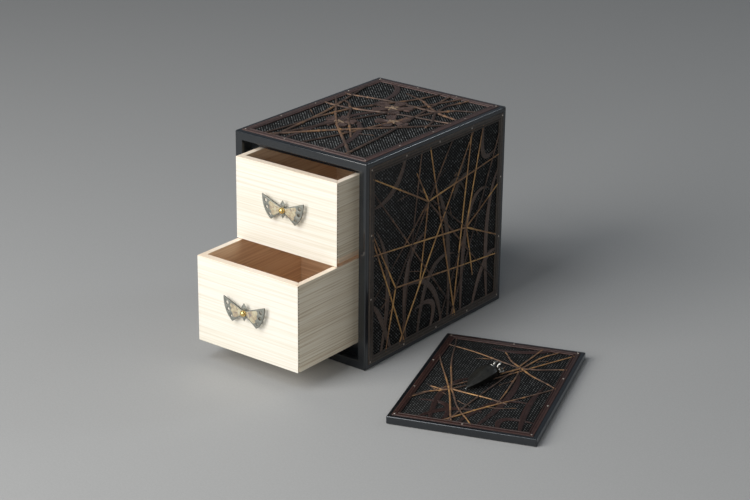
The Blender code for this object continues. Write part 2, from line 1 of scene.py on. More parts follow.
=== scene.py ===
# %% [markdown]
# # A lacquered seal box
# This scene dresses a small cabinet that keeps seals: a black lacquer case whose panels are openwork
# of autumn grasses over a woven ground, two pale drawers with butterfly pulls, and the lid of its
# front, which lies beside it. The solid model is loaded first and never moves. Each piece made below
# sits where a solid is, hides it and stands for it, and moves with the same body.

# %% Load the solid model
import math

import bmesh
import bpy
from mathutils import Matrix, Vector


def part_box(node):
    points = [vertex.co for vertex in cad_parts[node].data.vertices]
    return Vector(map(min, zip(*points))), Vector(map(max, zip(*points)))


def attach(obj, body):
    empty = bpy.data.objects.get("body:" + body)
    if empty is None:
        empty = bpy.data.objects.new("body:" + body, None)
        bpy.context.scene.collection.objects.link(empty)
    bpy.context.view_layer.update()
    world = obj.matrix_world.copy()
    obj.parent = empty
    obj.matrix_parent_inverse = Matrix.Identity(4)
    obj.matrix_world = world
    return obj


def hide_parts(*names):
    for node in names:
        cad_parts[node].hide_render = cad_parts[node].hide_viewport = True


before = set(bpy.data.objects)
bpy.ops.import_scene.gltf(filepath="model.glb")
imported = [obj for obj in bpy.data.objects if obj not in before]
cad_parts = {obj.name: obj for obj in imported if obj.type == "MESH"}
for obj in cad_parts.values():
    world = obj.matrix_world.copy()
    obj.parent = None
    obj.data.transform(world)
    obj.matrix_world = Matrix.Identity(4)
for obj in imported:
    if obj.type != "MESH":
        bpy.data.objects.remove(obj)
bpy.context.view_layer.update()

scene = bpy.context.scene
scene.view_settings.view_transform = "Standard"

# %% [markdown]
# ## Camera
# The photographer stood in front of the box and to its right, and looked down on it with a long lens,
# so upright edges hardly lean. The camera is set by its place, two angles and a slight roll.

# %% Camera
EYE = Vector((1.0950, -1.4300, 0.7809))
AZIMUTH = math.radians(37.35)
ELEVATION = math.radians(21.633)
ROLL = math.radians(0.614)
LENS = 96.59                 # millimetres, on a 36 mm wide sensor

backward = Vector((math.sin(AZIMUTH) * math.cos(ELEVATION), -math.cos(AZIMUTH) * math.cos(ELEVATION),
                   math.sin(ELEVATION)))
level = Vector((math.cos(AZIMUTH), math.sin(AZIMUTH), 0))
rise = backward.cross(level)
right_hand = level * math.cos(ROLL) + rise * math.sin(ROLL)
upward = rise * math.cos(ROLL) - level * math.sin(ROLL)
camera = bpy.data.objects.new("camera", bpy.data.cameras.new("camera"))
camera.data.lens = LENS
camera.data.sensor_width = 36
camera.data.sensor_fit = "HORIZONTAL"
camera.data.clip_end = 50
camera.matrix_world = Matrix.Translation(EYE) @ Matrix((right_hand, upward, backward)).transposed().to_4x4()
scene.collection.objects.link(camera)
scene.camera = camera

# %% [markdown]
# ## Light
# Black lacquer shows what it reflects more than its own colour, so the light is a few large soft
# panels and a dim even world. The main panel stands in front and to the left, which leaves the drawer
# fronts almost white and the right-hand sides in half shade. Three weak ones, overhead, beside the
# camera and behind, lift that shade a little and draw thin bright lines along the rounded edges.


# %% Light
def light_panel(name, place, aim, size, power, colour):
    """A square soft light at one place, turned towards another."""
    lamp = bpy.data.lights.new(name, "AREA")
    lamp.size = size
    lamp.energy = power
    lamp.color = colour
    holder = bpy.data.objects.new(name, lamp)
    holder.location = place
    holder.rotation_euler = (Vector(aim) - Vector(place)).to_track_quat("-Z", "Y").to_euler()
    scene.collection.objects.link(holder)


light_panel("key", (-0.66, -2.10, 1.20), (0.0, -0.1, 0.1), 1.6, 57, (1.0, 0.985, 0.96))
light_panel("overhead", (-0.14, -1.02, 1.75), (0.05, 0.0, 0.1), 0.66, 10, (0.92, 0.96, 1.0))
light_panel("beside the camera", (0.95, -1.75, 0.80), (0.0, -0.1, 0.1), 0.6, 7, (1.0, 0.96, 0.91))
light_panel("behind", (0.95, 1.70, 1.35), (0.05, 0.0, 0.15), 0.34, 3.6, (0.86, 0.94, 1.0))

world = bpy.data.worlds.new("studio")
world.use_nodes = True
world.node_tree.nodes["Background"].inputs["Color"].default_value = (0.74, 0.80, 0.88, 1)
world.node_tree.nodes["Background"].inputs["Strength"].default_value = 0.15
scene.world = world


# %% [markdown]
# ## Node helpers
# Materials and Geometry Nodes are both trees of nodes. One helper adds a node, sets its options and
# fills its inputs with values or with other nodes' outputs, so each tree below reads as a list.


# %% Node helpers
def add(tree, kind, inputs=(), **options):
    """Adds a node; its inputs are keyed by name or number and hold a value or another output."""
    node = tree.nodes.new(kind)
    for key, value in options.items():
        setattr(node, key, value)
    for key, value in dict(inputs).items():
        if isinstance(value, bpy.types.NodeSocket):
            tree.links.new(value, node.inputs[key])
        else:
            node.inputs[key].default_value = value
    return node


def finish(name, colour, roughness, **plain):
    """A material whose even values sit on the shader's own sockets, with its tree and its shader."""
    made = bpy.data.materials.new(name)
    made.use_nodes = True
    made.diffuse_color = (*colour, 1)
    shader = made.node_tree.nodes["Principled BSDF"]
    shader.inputs["Base Color"].default_value = (*colour, 1)
    shader.inputs["Roughness"].default_value = roughness
    for key, value in plain.items():
        shader.inputs[key.replace("_", " ")].default_value = value
    return made, made.node_tree, shader


def cloud(tree, scale, stretch=(1, 1, 1), detail=3.0, distortion=0.0):
    """Noise fixed to the piece, drawn out along an axis where its stretch is small."""
    place = add(tree, "ShaderNodeTexCoord").outputs["Object"]
    scaled = add(tree, "ShaderNodeMapping", {"Vector": place, "Scale": stretch}).outputs["Vector"]
    noise = add(tree, "ShaderNodeTexNoise", {"Vector": scaled, "Scale": scale, "Detail": detail,
                                             "Distortion": distortion})
    return noise.outputs["Fac"]


def ramp(tree, factor, *stops):
    """Colours or greys between stops of (place, colour)."""
    node = add(tree, "ShaderNodeValToRGB", {"Fac": factor})
    while len(node.color_ramp.elements) < len(stops):
        node.color_ramp.elements.new(0.5)
    for element, (place, colour) in zip(node.color_ramp.elements, stops):
        element.position = place
        element.color = (*colour, 1) if isinstance(colour, tuple) else (colour, colour, colour, 1)
    return node.outputs["Color"]


def vary(tree, shader, name, factor, *stops):
    """Moves an input of the shader between colours or greys, as a noise or an attribute says."""
    tree.links.new(ramp(tree, factor, *stops), shader.inputs[name])


def sums(tree, operation, one, other):
    """One operation of arithmetic on two values or outputs."""
    return add(tree, "ShaderNodeMath", {0: one, 1: other}, operation=operation).outputs[0]


def relief(tree, shader, height, depth, strength=1.0):
    """Fine unevenness of the surface, as deep as depth says, in metres."""
    node = add(tree, "ShaderNodeBump", {"Height": height, "Distance": depth, "Strength": strength})
    tree.links.new(node.outputs["Normal"], shader.inputs["Normal"])


# %% [markdown]
# ## Black lacquer
# The case and the lid's edge are polished black lacquer, a deep coat over a dark ground. Its gloss
# varies a little where it has been rubbed, so noise moves the roughness and leaves the coat even.

# %% Black lacquer
lacquer, tree, shader = finish("polished black lacquer", (0.0085, 0.0090, 0.0098), 0.3,
                               Specular_IOR_Level=0.24, Coat_Weight=0.8, Coat_Roughness=0.06,
                               Coat_IOR=1.65, Coat_Tint=(0.85, 0.93, 1.0, 1.0))
vary(tree, shader, "Roughness", cloud(tree, 9, detail=2), (0.3, 0.22), (0.7, 0.40))
vary(tree, shader, "Base Color", cloud(tree, 30), (0.3, (0.0050, 0.0062, 0.0078)),
     (0.7, (0.0085, 0.0100, 0.0120)))
relief(tree, shader, cloud(tree, 60, detail=1), 0.00002)

# %% [markdown]
# ## Brown openwork
# Frames, leaves and flowers are cut from thin wood and lacquered brown. Each carved shape carries an
# attribute named grain: its place along the shape, its place across it from -1 to 1, and a tone from
# 0, dark leaf, to 1, tan flower heart. Veins follow the shape because they read that attribute.

# %% Brown openwork
def brown_openwork(name, leaf, band, petals, heart):
    """Lacquered wood whose colour follows the tone of each carved shape, with veins along it."""
    made, tree, shader = finish(name, band, 0.4, Specular_IOR_Level=0.35, Coat_Weight=0.12,
                                Coat_Roughness=0.25)
    grain = add(tree, "ShaderNodeAttribute", attribute_name="grain").outputs["Vector"]
    place = add(tree, "ShaderNodeSeparateXYZ", {"Vector": grain})
    tone = ramp(tree, place.outputs["Z"], (0.0, leaf), (0.35, band), (0.6, petals), (1.0, heart))
    veins = sums(tree, "SINE", sums(tree, "MULTIPLY", place.outputs["Y"], 34.0), 0.0)
    light = sums(tree, "ADD", sums(tree, "MULTIPLY", veins, 0.24), cloud(tree, 420, detail=4))
    mixed = add(tree, "ShaderNodeMix", {0: 1.0, 6: tone, 7: ramp(tree, light, (0.22, 0.42), (0.75, 1.05))},
                data_type="RGBA", blend_type="MULTIPLY")
    tree.links.new(mixed.outputs[2], shader.inputs["Base Color"])
    vary(tree, shader, "Roughness", cloud(tree, 900), (0.3, 0.30), (0.7, 0.52))
    relief(tree, shader, sums(tree, "ADD", veins, cloud(tree, 1500)), 0.00009, 0.8)
    return made


openwork = {
    "top": brown_openwork("copper-brown openwork", (0.080, 0.050, 0.044), (0.092, 0.055, 0.049),
                          (0.115, 0.076, 0.066), (0.42, 0.30, 0.20)),
    "right": brown_openwork("dark brown openwork", (0.190, 0.128, 0.102), (0.074, 0.058, 0.047),
                            (0.120, 0.088, 0.070), (0.30, 0.20, 0.12)),
    "lid": brown_openwork("red-brown openwork", (0.046, 0.023, 0.020), (0.052, 0.025, 0.021),
                          (0.08, 0.04, 0.03), (0.30, 0.18, 0.12)),
}
openwork["left"] = openwork["back"] = openwork["right"]

# %% [markdown]
# ## Gold-brown stems
# Some stems are brushed with gold and others are left brown, and the gold has worn through in patches.
# An attribute on each stem says how much gold it has, and a coarse noise wears it away.

# %% Gold-brown stems
stem_gold, tree, shader = finish("gold-brown stems", (0.30, 0.165, 0.065), 0.42, Metallic=0.2)
gilded = add(tree, "ShaderNodeAttribute", attribute_name="gold").outputs["Fac"]
worn = sums(tree, "SUBTRACT", cloud(tree, 170, detail=4, distortion=0.4), 0.5)
gold_left = sums(tree, "ADD", gilded, sums(tree, "MULTIPLY", worn, 0.9))
vary(tree, shader, "Base Color", gold_left, (0.05, (0.055, 0.036, 0.029)),
     (0.35, (0.145, 0.090, 0.064)), (0.62, (0.33, 0.18, 0.082)), (0.95, (0.60, 0.35, 0.13)))
vary(tree, shader, "Roughness", gold_left, (0.2, 0.55), (0.8, 0.42))
relief(tree, shader, cloud(tree, 1400), 0.00008, 0.6)

# %% [markdown]
# ## Woven ground
# Behind the openwork lies a fine dark cloth stiffened with lacquer. Its threads are modelled, so the
# material only gives each thread its own tone, from the attribute that the weave stores on it. The
# palest tones are partly the threads' own random tone and partly painted highlight, for glints on single
# threads.

# %% Woven ground
weave, tree, shader = finish("dark woven ground", (0.016, 0.017, 0.018), 0.4, Specular_IOR_Level=0.2)
thread = add(tree, "ShaderNodeAttribute", attribute_name="tone").outputs["Fac"]
# Partly painted highlight: the pale end of this ramp stands for glints of the light on single threads.
vary(tree, shader, "Base Color", thread, (0.0, (0.003, 0.0032, 0.0033)), (0.28, (0.020, 0.021, 0.021)),
     (0.65, (0.062, 0.065, 0.065)), (1.0, (0.20, 0.21, 0.21)))
vary(tree, shader, "Roughness", thread, (0.0, 0.75), (0.1, 0.55), (1.0, 0.42))
relief(tree, shader, cloud(tree, 2600), 0.00005)


# %% [markdown]
# ## Paulownia
# The drawers are bare paulownia, pale and straight-grained. The grain is noise drawn out along one
# axis: fine lines for the growth rings, and broad soft bands for the change between boards.


# %% Paulownia
def paulownia(name, stretch, pale, mid, dark, fine=640):
    """Straight-grained wood whose grain runs along the axis with the smallest stretch."""
    made, tree, shader = finish(name, mid, 0.6)
    rings = cloud(tree, fine, stretch, detail=4, distortion=0.05)
    bands = cloud(tree, 90, stretch, detail=2)
    drift = cloud(tree, 14, detail=1)
    figure = sums(tree, "ADD", sums(tree, "MULTIPLY", rings, 0.92), sums(tree, "MULTIPLY", bands, 0.08))
    figure = sums(tree, "ADD", figure, sums(tree, "MULTIPLY", sums(tree, "SUBTRACT", drift, 0.5), 0.10))
    vary(tree, shader, "Base Color", figure, (0.37, dark), (0.49, mid), (0.60, pale))
    vary(tree, shader, "Roughness", rings, (0.3, 0.50), (0.7, 0.68))
    relief(tree, shader, rings, 0.00006, 0.6)
    return made


wood_x = paulownia("paulownia, grain across", (0.010, 1, 1), (0.84, 0.80, 0.72), (0.80, 0.755, 0.65),
                   (0.735, 0.685, 0.57))
wood_y = paulownia("paulownia, grain lengthwise", (1, 0.012, 1), (0.98, 0.90, 0.74), (0.90, 0.80, 0.62),
                   (0.71, 0.59, 0.42), 760)
# Painted bounce light: a warmer, tan copy of the wood for the upper drawer's bottom board, standing in for
# light bounced onto its edge from the lower drawer.
wood_floor_painted_bounce = paulownia("paulownia, upper drawer bottom, painted bounce light", (1, 0.02, 1), (0.95, 0.77, 0.58), (0.92, 0.72, 0.52),
                       (0.80, 0.60, 0.41))
# Painted light: the boards' upward faces are a lighter, warmer copy of the wood, standing in for the light
# falling on them.
wood_top_painted_light = paulownia("paulownia, top edges, painted light", (0.03, 0.03, 1), (0.98, 0.86, 0.72), (0.96, 0.82, 0.66),
                      (0.90, 0.74, 0.57))
# Painted bounce light: the faces inside the drawers are a warmer, more orange copy of the wood, standing in
# for light bounced between the boards.
wood_inside_painted_bounce = paulownia("paulownia, inside the drawers, painted bounce light", (0.02, 0.02, 1), (0.90, 0.675, 0.47),
                        (0.83, 0.595, 0.39), (0.72, 0.48, 0.30))

# %% [markdown]
# ## Small metals, pearl and horn
# The pulls are dull grey metal with pearly inlay and a gilt bead. The pins that hold the openwork are
# dull and silvery. The lid's knob is carved from black horn, with silver trim and smoky glass eyes.

# %% Small metals, pearl and horn
pewter, tree, shader = finish("grey pewter", (0.34, 0.35, 0.33), 0.45, Metallic=0.5)
vary(tree, shader, "Base Color", cloud(tree, 260, detail=2), (0.25, (0.21, 0.216, 0.19)),
     (0.55, (0.275, 0.283, 0.25)), (0.8, (0.34, 0.345, 0.31)))
vary(tree, shader, "Roughness", cloud(tree, 900), (0.3, 0.38), (0.7, 0.52))
relief(tree, shader, cloud(tree, 1500), 0.00002)

# The side faces of each wing plate are given a darker pewter than its faces.
dark_pewter_edge, tree, shader = finish("dark edge of the pewter", (0.075, 0.068, 0.055), 0.5, Metallic=0.4)
vary(tree, shader, "Base Color", cloud(tree, 500), (0.3, (0.035, 0.030, 0.022)),
     (0.7, (0.075, 0.066, 0.050)))

pearl, tree, shader = finish("mottled pearl", (0.58, 0.52, 0.40), 0.25, Coat_Weight=0.5,
                             Coat_Roughness=0.1)
vary(tree, shader, "Base Color", cloud(tree, 300, detail=2, distortion=0.8), (0.30, (0.24, 0.20, 0.18)),
     (0.42, (0.40, 0.32, 0.22)), (0.55, (0.50, 0.44, 0.29)), (0.72, (0.56, 0.53, 0.40)))
relief(tree, shader, cloud(tree, 900), 0.00003)

gilt, tree, shader = finish("gilt bead", (0.78, 0.56, 0.21), 0.4, Metallic=0.9)
vary(tree, shader, "Roughness", cloud(tree, 500), (0.3, 0.14), (0.7, 0.30))

silver, tree, shader = finish("silver", (0.74, 0.74, 0.72), 0.22, Metallic=1.0)
vary(tree, shader, "Base Color", cloud(tree, 900), (0.35, (0.38, 0.37, 0.33)),
     (0.6, (0.66, 0.66, 0.63)))
vary(tree, shader, "Roughness", cloud(tree, 900), (0.3, 0.42), (0.7, 0.26))

pin_metal, tree, shader = finish("dull pin heads", (0.55, 0.50, 0.44), 0.36, Metallic=0.8)
vary(tree, shader, "Base Color", cloud(tree, 300), (0.3, (0.38, 0.33, 0.28)), (0.7, (0.66, 0.61, 0.54)))

dark_glass, tree, shader = finish("smoky glass", (0.030, 0.026, 0.020), 0.12, Coat_Weight=1.0,
                                  Coat_Roughness=0.04)
vary(tree, shader, "Base Color", cloud(tree, 500), (0.3, (0.020, 0.017, 0.013)),
     (0.7, (0.055, 0.045, 0.030)))

horn, tree, shader = finish("black horn", (0.010, 0.010, 0.009), 0.34)
vary(tree, shader, "Base Color", cloud(tree, 240, detail=4), (0.3, (0.009, 0.009, 0.008)),
     (0.7, (0.020, 0.020, 0.017)))
vary(tree, shader, "Roughness", cloud(tree, 600), (0.3, 0.28), (0.7, 0.44))
relief(tree, shader, cloud(tree, 1600), 0.00003)

pale_floor, tree, shader = finish("pale studio floor", (0.40, 0.40, 0.40), 0.75)
vary(tree, shader, "Base Color", cloud(tree, 700, detail=2), (0.3, (0.385, 0.385, 0.38)),
     (0.7, (0.415, 0.415, 0.41)))


# %% [markdown]
# ## Making pieces
# A piece is a finished mesh that already lies where it belongs, on an object at the origin. One
# helper links it, names the body that it moves with, gives it its material when one is given, and says which
# solids it hides.


# %% Making pieces
def piece(name, mesh, material, body, slot, *hides):
    """Shows a finished mesh as a piece of the object."""
    thing = bpy.data.objects.new(name, mesh)
    scene.collection.objects.link(thing)
    if material:
        mesh.materials.clear()
        mesh.materials.append(material)
    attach(thing, body)
    if hides:
        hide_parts(*hides)
    mesh.calc_loop_triangles()
    print(name, len(mesh.loop_triangles), "triangles")
    return thing


def settled(thing):
    """The plain mesh that an object's modifiers make of it; the object itself is removed."""
    bpy.context.view_layer.update()
    graph = bpy.context.evaluated_depsgraph_get()
    mesh = bpy.data.meshes.new_from_object(thing.evaluated_get(graph), preserve_all_data_layers=True,
                                           depsgraph=graph)
    bpy.data.objects.remove(thing, do_unlink=True)
    return mesh


def loose(name, mesh):
    """An object for a mesh that still has work to be done on it."""
    thing = bpy.data.objects.new(name, mesh)
    scene.collection.objects.link(thing)
    return thing


def mesh_of(name, points, faces, smooth=True):
    """A mesh from points and faces, its faces turned outwards."""
    mesh = bpy.data.meshes.new(name)
    mesh.from_pydata([tuple(p) for p in points], [], faces)
    shape = bmesh.new()
    shape.from_mesh(mesh)
    bmesh.ops.recalc_face_normals(shape, faces=shape.faces)
    shape.to_mesh(mesh)
    shape.free()
    if smooth:
        mesh.shade_smooth()
    return mesh


def joined(name, *meshes):
    """Several meshes as one, each with its materials kept."""
    shape = bmesh.new()
    materials = []
    for mesh in meshes:
        first = len(materials)
        before = len(shape.faces)
        shape.from_mesh(mesh)
        shape.faces.ensure_lookup_table()
        for face in shape.faces[before:]:
            face.material_index += first
        materials += list(mesh.materials) or [None]
    whole = bpy.data.meshes.new(name)
    shape.to_mesh(whole)
    shape.free()
    for material in materials:
        whole.materials.append(material)
    return whole


# %% [markdown]
# ## Floor
# The floor is only the place where the object stands, so it is staging and not a piece of it.

# %% Floor
FLOOR_HALF = 8
FLOOR_LEVEL = -0.0002        # just under the object
corners = [(x * FLOOR_HALF, y * FLOOR_HALF, FLOOR_LEVEL) for x, y in ((-1, -1), (1, -1), (1, 1), (-1, 1))]
floor = loose("floor", mesh_of("floor", corners, [(0, 1, 2, 3)], smooth=False))
floor.data.materials.append(pale_floor)

# %% [markdown]
# ## Measures of the case and the lid
# The solids' own boxes give the sizes that can be read from them. The widths of rims, ledges and
# margins can't be read from a box, so they are named here as the joiner would mark them.

# %% Measures of the case and the lid
case_low, case_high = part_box("cabinet")
CASE_WIDTH, CASE_DEPTH, CASE_HEIGHT = case_high - case_low
FRONT_Y = case_low.y
RIM = 0.0085                 # flat frame round the front opening
EDGE_ROUND = 0.0014
LEDGE_SIDE, LEDGE_BOTTOM, LEDGE_TOP = 0.0088, 0.0108, 0.0075
LIP = 0.0036                 # in front of the lid's grooves
GROOVE = 0.0083
LEDGE_LAND = 0.0005
GROOVE_DEPTH = 0.0020
TOP_GROOVE = 0.0055
BACK_WALL = 0.0173
FIT = 0.0003                 # between pieces that touch
CASE_MARGIN = 0.0047         # black edge outside each openwork plate
LID_MARGIN = 0.0040
CASE_BAND, LID_BAND = 0.0070, 0.0060     # frames of the openwork plates
RIM_FLARE, BAY_FLARE = 0.0009, 0.0006    # rounding of the opening's inner edges
GROUND_RECESS = 0.0018
LID_THICKNESS = 0.0075
LID_ROUND = 0.0012
LID_WIDTH = CASE_WIDTH - 2 * RIM - 0.0025
LID_HEIGHT = CASE_HEIGHT - 2 * RIM + 0.0050
LID_PLACE = (0.1883, -0.0712)
LID_TURN = math.radians(19.34)
REBATE_BACK = FRONT_Y + LIP + GROOVE + LEDGE_LAND
BAY_HALF = CASE_WIDTH / 2 - RIM - LEDGE_SIDE
BAY_FLOOR = RIM + LEDGE_BOTTOM
BAY_TOP = CASE_HEIGHT - RIM - LEDGE_TOP
print("lid", round(LID_WIDTH, 4), "x", round(LID_HEIGHT, 4))


# %% [markdown]
# ## Faces
# Each decorated face is drawn flat, with its middle at zero, and then laid on the box by a matrix
# whose columns are the directions across the face, up it and out of it.


# %% Faces
def face_frame(origin, across, up):
    """The matrix that lays a flat drawing on a face."""
    across, up = Vector(across), Vector(up)
    made = Matrix((across, up, across.cross(up))).transposed().to_4x4()
    made.translation = Vector(origin)
    return made


lid_turn = Matrix.Translation((*LID_PLACE, 0)) @ Matrix.Rotation(LID_TURN, 4, "Z")
wide, deep, high = (size - 2 * CASE_MARGIN for size in (CASE_WIDTH, CASE_DEPTH, CASE_HEIGHT))
half_up = CASE_HEIGHT / 2
FACES = {
    "top": (face_frame((0, 0, CASE_HEIGHT), (1, 0, 0), (0, 1, 0)), wide, deep, CASE_BAND),
    "right": (face_frame((CASE_WIDTH / 2, 0, half_up), (0, 1, 0), (0, 0, 1)), deep, high, CASE_BAND),
    "left": (face_frame((-CASE_WIDTH / 2, 0, half_up), (0, -1, 0), (0, 0, 1)), deep, high, CASE_BAND),
    "back": (face_frame((0, -FRONT_Y, half_up), (-1, 0, 0), (0, 0, 1)), wide, high, CASE_BAND),
    "lid": (lid_turn @ Matrix.Translation((0, 0, LID_THICKNESS)), LID_WIDTH - 2 * LID_MARGIN,
            LID_HEIGHT - 2 * LID_MARGIN, LID_BAND),
}

# %% [markdown]
# ## Case
# The case is one hollow block. A box is rounded on its outer edges first, and then the lid's rebate,
# the drawers' bay, the grooves and the panels' recesses are cut out of it. The cutters for the
# opening flare at the front, so the rim's inner edge is rounded and catches a line of light.


# %% Case
def box_mesh(name, low, high):
    """A plain box between two corners."""
    shape = bmesh.new()
    bmesh.ops.create_cube(shape, size=1.0)
    for v in shape.verts:
        v.co = Vector([a + (c + 0.5) * (b - a) for a, b, c in zip(low, high, v.co)])
    mesh = bpy.data.meshes.new(name)
    shape.to_mesh(mesh)
    shape.free()
    return mesh


def rounded_box(name, low, high, radius, segments):
    """A box with all its edges rounded."""
    mesh = box_mesh(name, low, high)
    shape = bmesh.new()
    shape.from_mesh(mesh)
    bmesh.ops.bevel(shape, geom=shape.edges[:], offset=radius, segments=segments, profile=0.5,
                    affect="EDGES")
    shape.to_mesh(mesh)
    shape.free()
    return mesh


def flared_cutter(name, half, z_low, z_high, start, mouth, stop, flare):
    """A block from y = start to y = stop that widens towards y = mouth in a quarter round."""
    sections = [(start, flare)]
    for k in range(5):
        a = math.pi / 2 * k / 4
        sections.append((mouth + flare * (1 - math.cos(a)), flare * (1 - math.sin(a))))
    sections.append((stop, 0.0))
    points = []
    for y, grow in sections:
        points += [(-half - grow, y, z_low - grow), (half + grow, y, z_low - grow),
                   (half + grow, y, z_high + grow), (-half - grow, y, z_high + grow)]
    faces = [(0, 1, 2, 3), tuple(4 * (len(sections) - 1) + i for i in range(4))]
    for k in range(len(sections) - 1):
        for i in range(4):
            j = (i + 1) % 4
            faces.append((4 * k + i, 4 * k + j, 4 * k + 4 + j, 4 * k + 4 + i))
    return mesh_of(name, points, faces, smooth=False)


def carve_out(body, cutters):
    """Cuts meshes out of a body, one after the other, and returns the body's plain mesh."""
    tools = []
    for mesh in cutters:
        tool = loose("cutter", mesh)
        tools.append(tool)
        step = body.modifiers.new("cut", "BOOLEAN")
        step.operation = "DIFFERENCE"
        step.solver = "EXACT"
        step.object = tool
    made = settled(body)
    for tool in tools:
        bpy.data.objects.remove(tool, do_unlink=True)
    return made


def polished(mesh, sharp=35):
    """Smooth shading that keeps flats flat: normals weighted by area, sharp above an angle."""
    mesh.shade_smooth()
    mesh.set_sharp_from_angle(angle=math.radians(sharp))
    thing = loose("polished", mesh)
    step = thing.modifiers.new("flat flats", "WEIGHTED_NORMAL")
    step.keep_sharp = True
    return settled(thing)


def recess_cutter(face):
    """The shallow recess that a woven ground and its openwork lie in."""
    matrix, width, height, _ = FACES[face]
    mesh = box_mesh(face + " recess", (-width / 2 - FIT, -height / 2 - FIT, -GROUND_RECESS),
                    (width / 2 + FIT, height / 2 + FIT, GROUND_RECESS))
    mesh.transform(matrix)
    return mesh


half_opening = CASE_WIDTH / 2 - RIM
before = FRONT_Y - 0.005
groove_front = FRONT_Y + LIP
cutters = [
    flared_cutter("rebate", half_opening, RIM, CASE_HEIGHT - RIM, before, FRONT_Y, REBATE_BACK, RIM_FLARE),
    flared_cutter("bay", BAY_HALF, BAY_FLOOR, BAY_TOP, before, REBATE_BACK, case_high.y - BACK_WALL,
                  BAY_FLARE),
    box_mesh("bottom groove", (-half_opening, groove_front, RIM - GROOVE_DEPTH),
             (half_opening, groove_front + GROOVE, RIM + GROOVE_DEPTH)),
    box_mesh("top groove", (-half_opening, groove_front, CASE_HEIGHT - RIM - GROOVE_DEPTH),
             (half_opening, groove_front + GROOVE, CASE_HEIGHT - RIM + TOP_GROOVE)),
] + [recess_cutter(face) for face in ("top", "right", "left", "back")]
for node in ("drawer_shelf", "bay_back_board"):
    low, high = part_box(node)
    cutters.append(box_mesh(node + " housing", low - Vector((FIT, FIT, FIT)), high + Vector((FIT, FIT, FIT))))
case_body = loose("case", rounded_box("case", case_low, case_high, EDGE_ROUND, 5))
piece("lacquer_case", polished(carve_out(case_body, cutters)), lacquer, "case", "lacquer", "cabinet")

for node in ("drawer_shelf", "bay_back_board"):
    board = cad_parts[node]
    board.data.materials.clear()
    board.data.materials.append(lacquer)

# %% [markdown]
# ## Lid board
# The lid is a thin board with a rounded edge all round and the same recess in its face. It lies on
# its back, turned a little, so it is made straight and then turned as a whole.

# %% Lid board
lid_body = loose("lid", rounded_box("lid", (-LID_WIDTH / 2, -LID_HEIGHT / 2, 0),
                                    (LID_WIDTH / 2, LID_HEIGHT / 2, LID_THICKNESS), LID_ROUND, 3))
lid_body.data.transform(lid_turn)
piece("lacquer_lid", polished(carve_out(lid_body, [recess_cutter("lid")])), lacquer, "case", "lacquer",
      "lid_board")

# %% [markdown]
# ## Geometry Nodes trees
# Threads, stems and pins repeat hundreds of times or follow a line, so each is a tree of Geometry
# Nodes with its sizes as named inputs. The trees end in Realize Instances, Set Shade Smooth and Set
# Material, and their result is read back as a plain mesh.


# %% Geometry Nodes helpers
SOCKETS = {int: "NodeSocketInt", float: "NodeSocketFloat", bpy.types.Material: "NodeSocketMaterial"}


def new_tree(name, **sizes):
    """An empty tree with a geometry input and output and named inputs, and its two end nodes."""
    tree = bpy.data.node_groups.new(name, "GeometryNodeTree")
    tree.interface.new_socket("Geometry", in_out="INPUT", socket_type="NodeSocketGeometry")
    for label, value in sizes.items():
        socket = tree.interface.new_socket(label, in_out="INPUT", socket_type=SOCKETS[type(value)])
        socket.default_value = value
    tree.interface.new_socket("Geometry", in_out="OUTPUT", socket_type="NodeSocketGeometry")
    return tree, tree.nodes.new("NodeGroupInput").outputs, tree.nodes.new("NodeGroupOutput")


def close_tree(tree, geometry, given, end):
    """The last nodes of each tree."""
    real = add(tree, "GeometryNodeRealizeInstances", {"Geometry": geometry}).outputs[0]
    smooth = add(tree, "GeometryNodeSetShadeSmooth", {"Geometry": real}).outputs[0]
    named = add(tree, "GeometryNodeSetMaterial", {"Geometry": smooth, "Material": given["material"]})
    tree.links.new(named.outputs[0], end.inputs[0])


def grown(tree, mesh, **sizes):
    """The plain mesh that a tree makes of a mesh, with these sizes."""
    thing = loose(tree.name, mesh)
    step = thing.modifiers.new(tree.name, "NODES")
    step.node_group = tree
    for socket in tree.interface.items_tree:
        if socket.in_out == "INPUT" and socket.name in sizes:
            step[socket.identifier] = sizes[socket.name]
    return settled(thing)


def from_xyz(tree, x=0.0, y=0.0, z=0.0):
    """A vector from three values or outputs."""
    return add(tree, "ShaderNodeCombineXYZ", {"X": x, "Y": y, "Z": z}).outputs[0]


# %% [markdown]
# ## Weave
# The ground is a twill: short plump threads lie end to end on slanting rows, and each row starts a
# third of a thread later than the one before. A grid of points is shifted row by row, turned to the
# slant and trimmed to the field, and an eight-sided spindle is set on each point. A random value, with a
# fixed seed, changes each thread's length and height a little and is stored as its tone, dimmed on
# each face by a factor of painted shade.

# %% Weave tree
tree, given, end = new_tree("twill", half_width=0.06, half_height=0.08, reach=0.2, in_row=100, rows=160,
                            thread_long=0.0021, thread_wide=0.0011, thread_high=0.0006, level=-0.0008,
                            slant=-0.785, seed=7, shade=1.0, material=weave)
grid = add(tree, "GeometryNodeMeshGrid", {"Size X": given["reach"], "Size Y": given["reach"],
                                          "Vertices X": given["in_row"],
                                          "Vertices Y": given["rows"]}).outputs[0]
place = add(tree, "ShaderNodeSeparateXYZ", {"Vector": add(tree, "GeometryNodeInputPosition").outputs[0]})
gaps = sums(tree, "SUBTRACT", given["rows"], 1.0)
share = sums(tree, "ADD", sums(tree, "DIVIDE", place.outputs["Y"], given["reach"]), 0.5)
row = sums(tree, "MULTIPLY", share, gaps)
step_in_three = sums(tree, "MODULO", sums(tree, "ROUND", row, 0.0), 3.0)
shift = sums(tree, "MULTIPLY", step_in_three, sums(tree, "DIVIDE", given["thread_long"], 3.0))
grid = add(tree, "GeometryNodeSetPosition", {"Geometry": grid, "Offset": from_xyz(tree, x=shift)}).outputs[0]
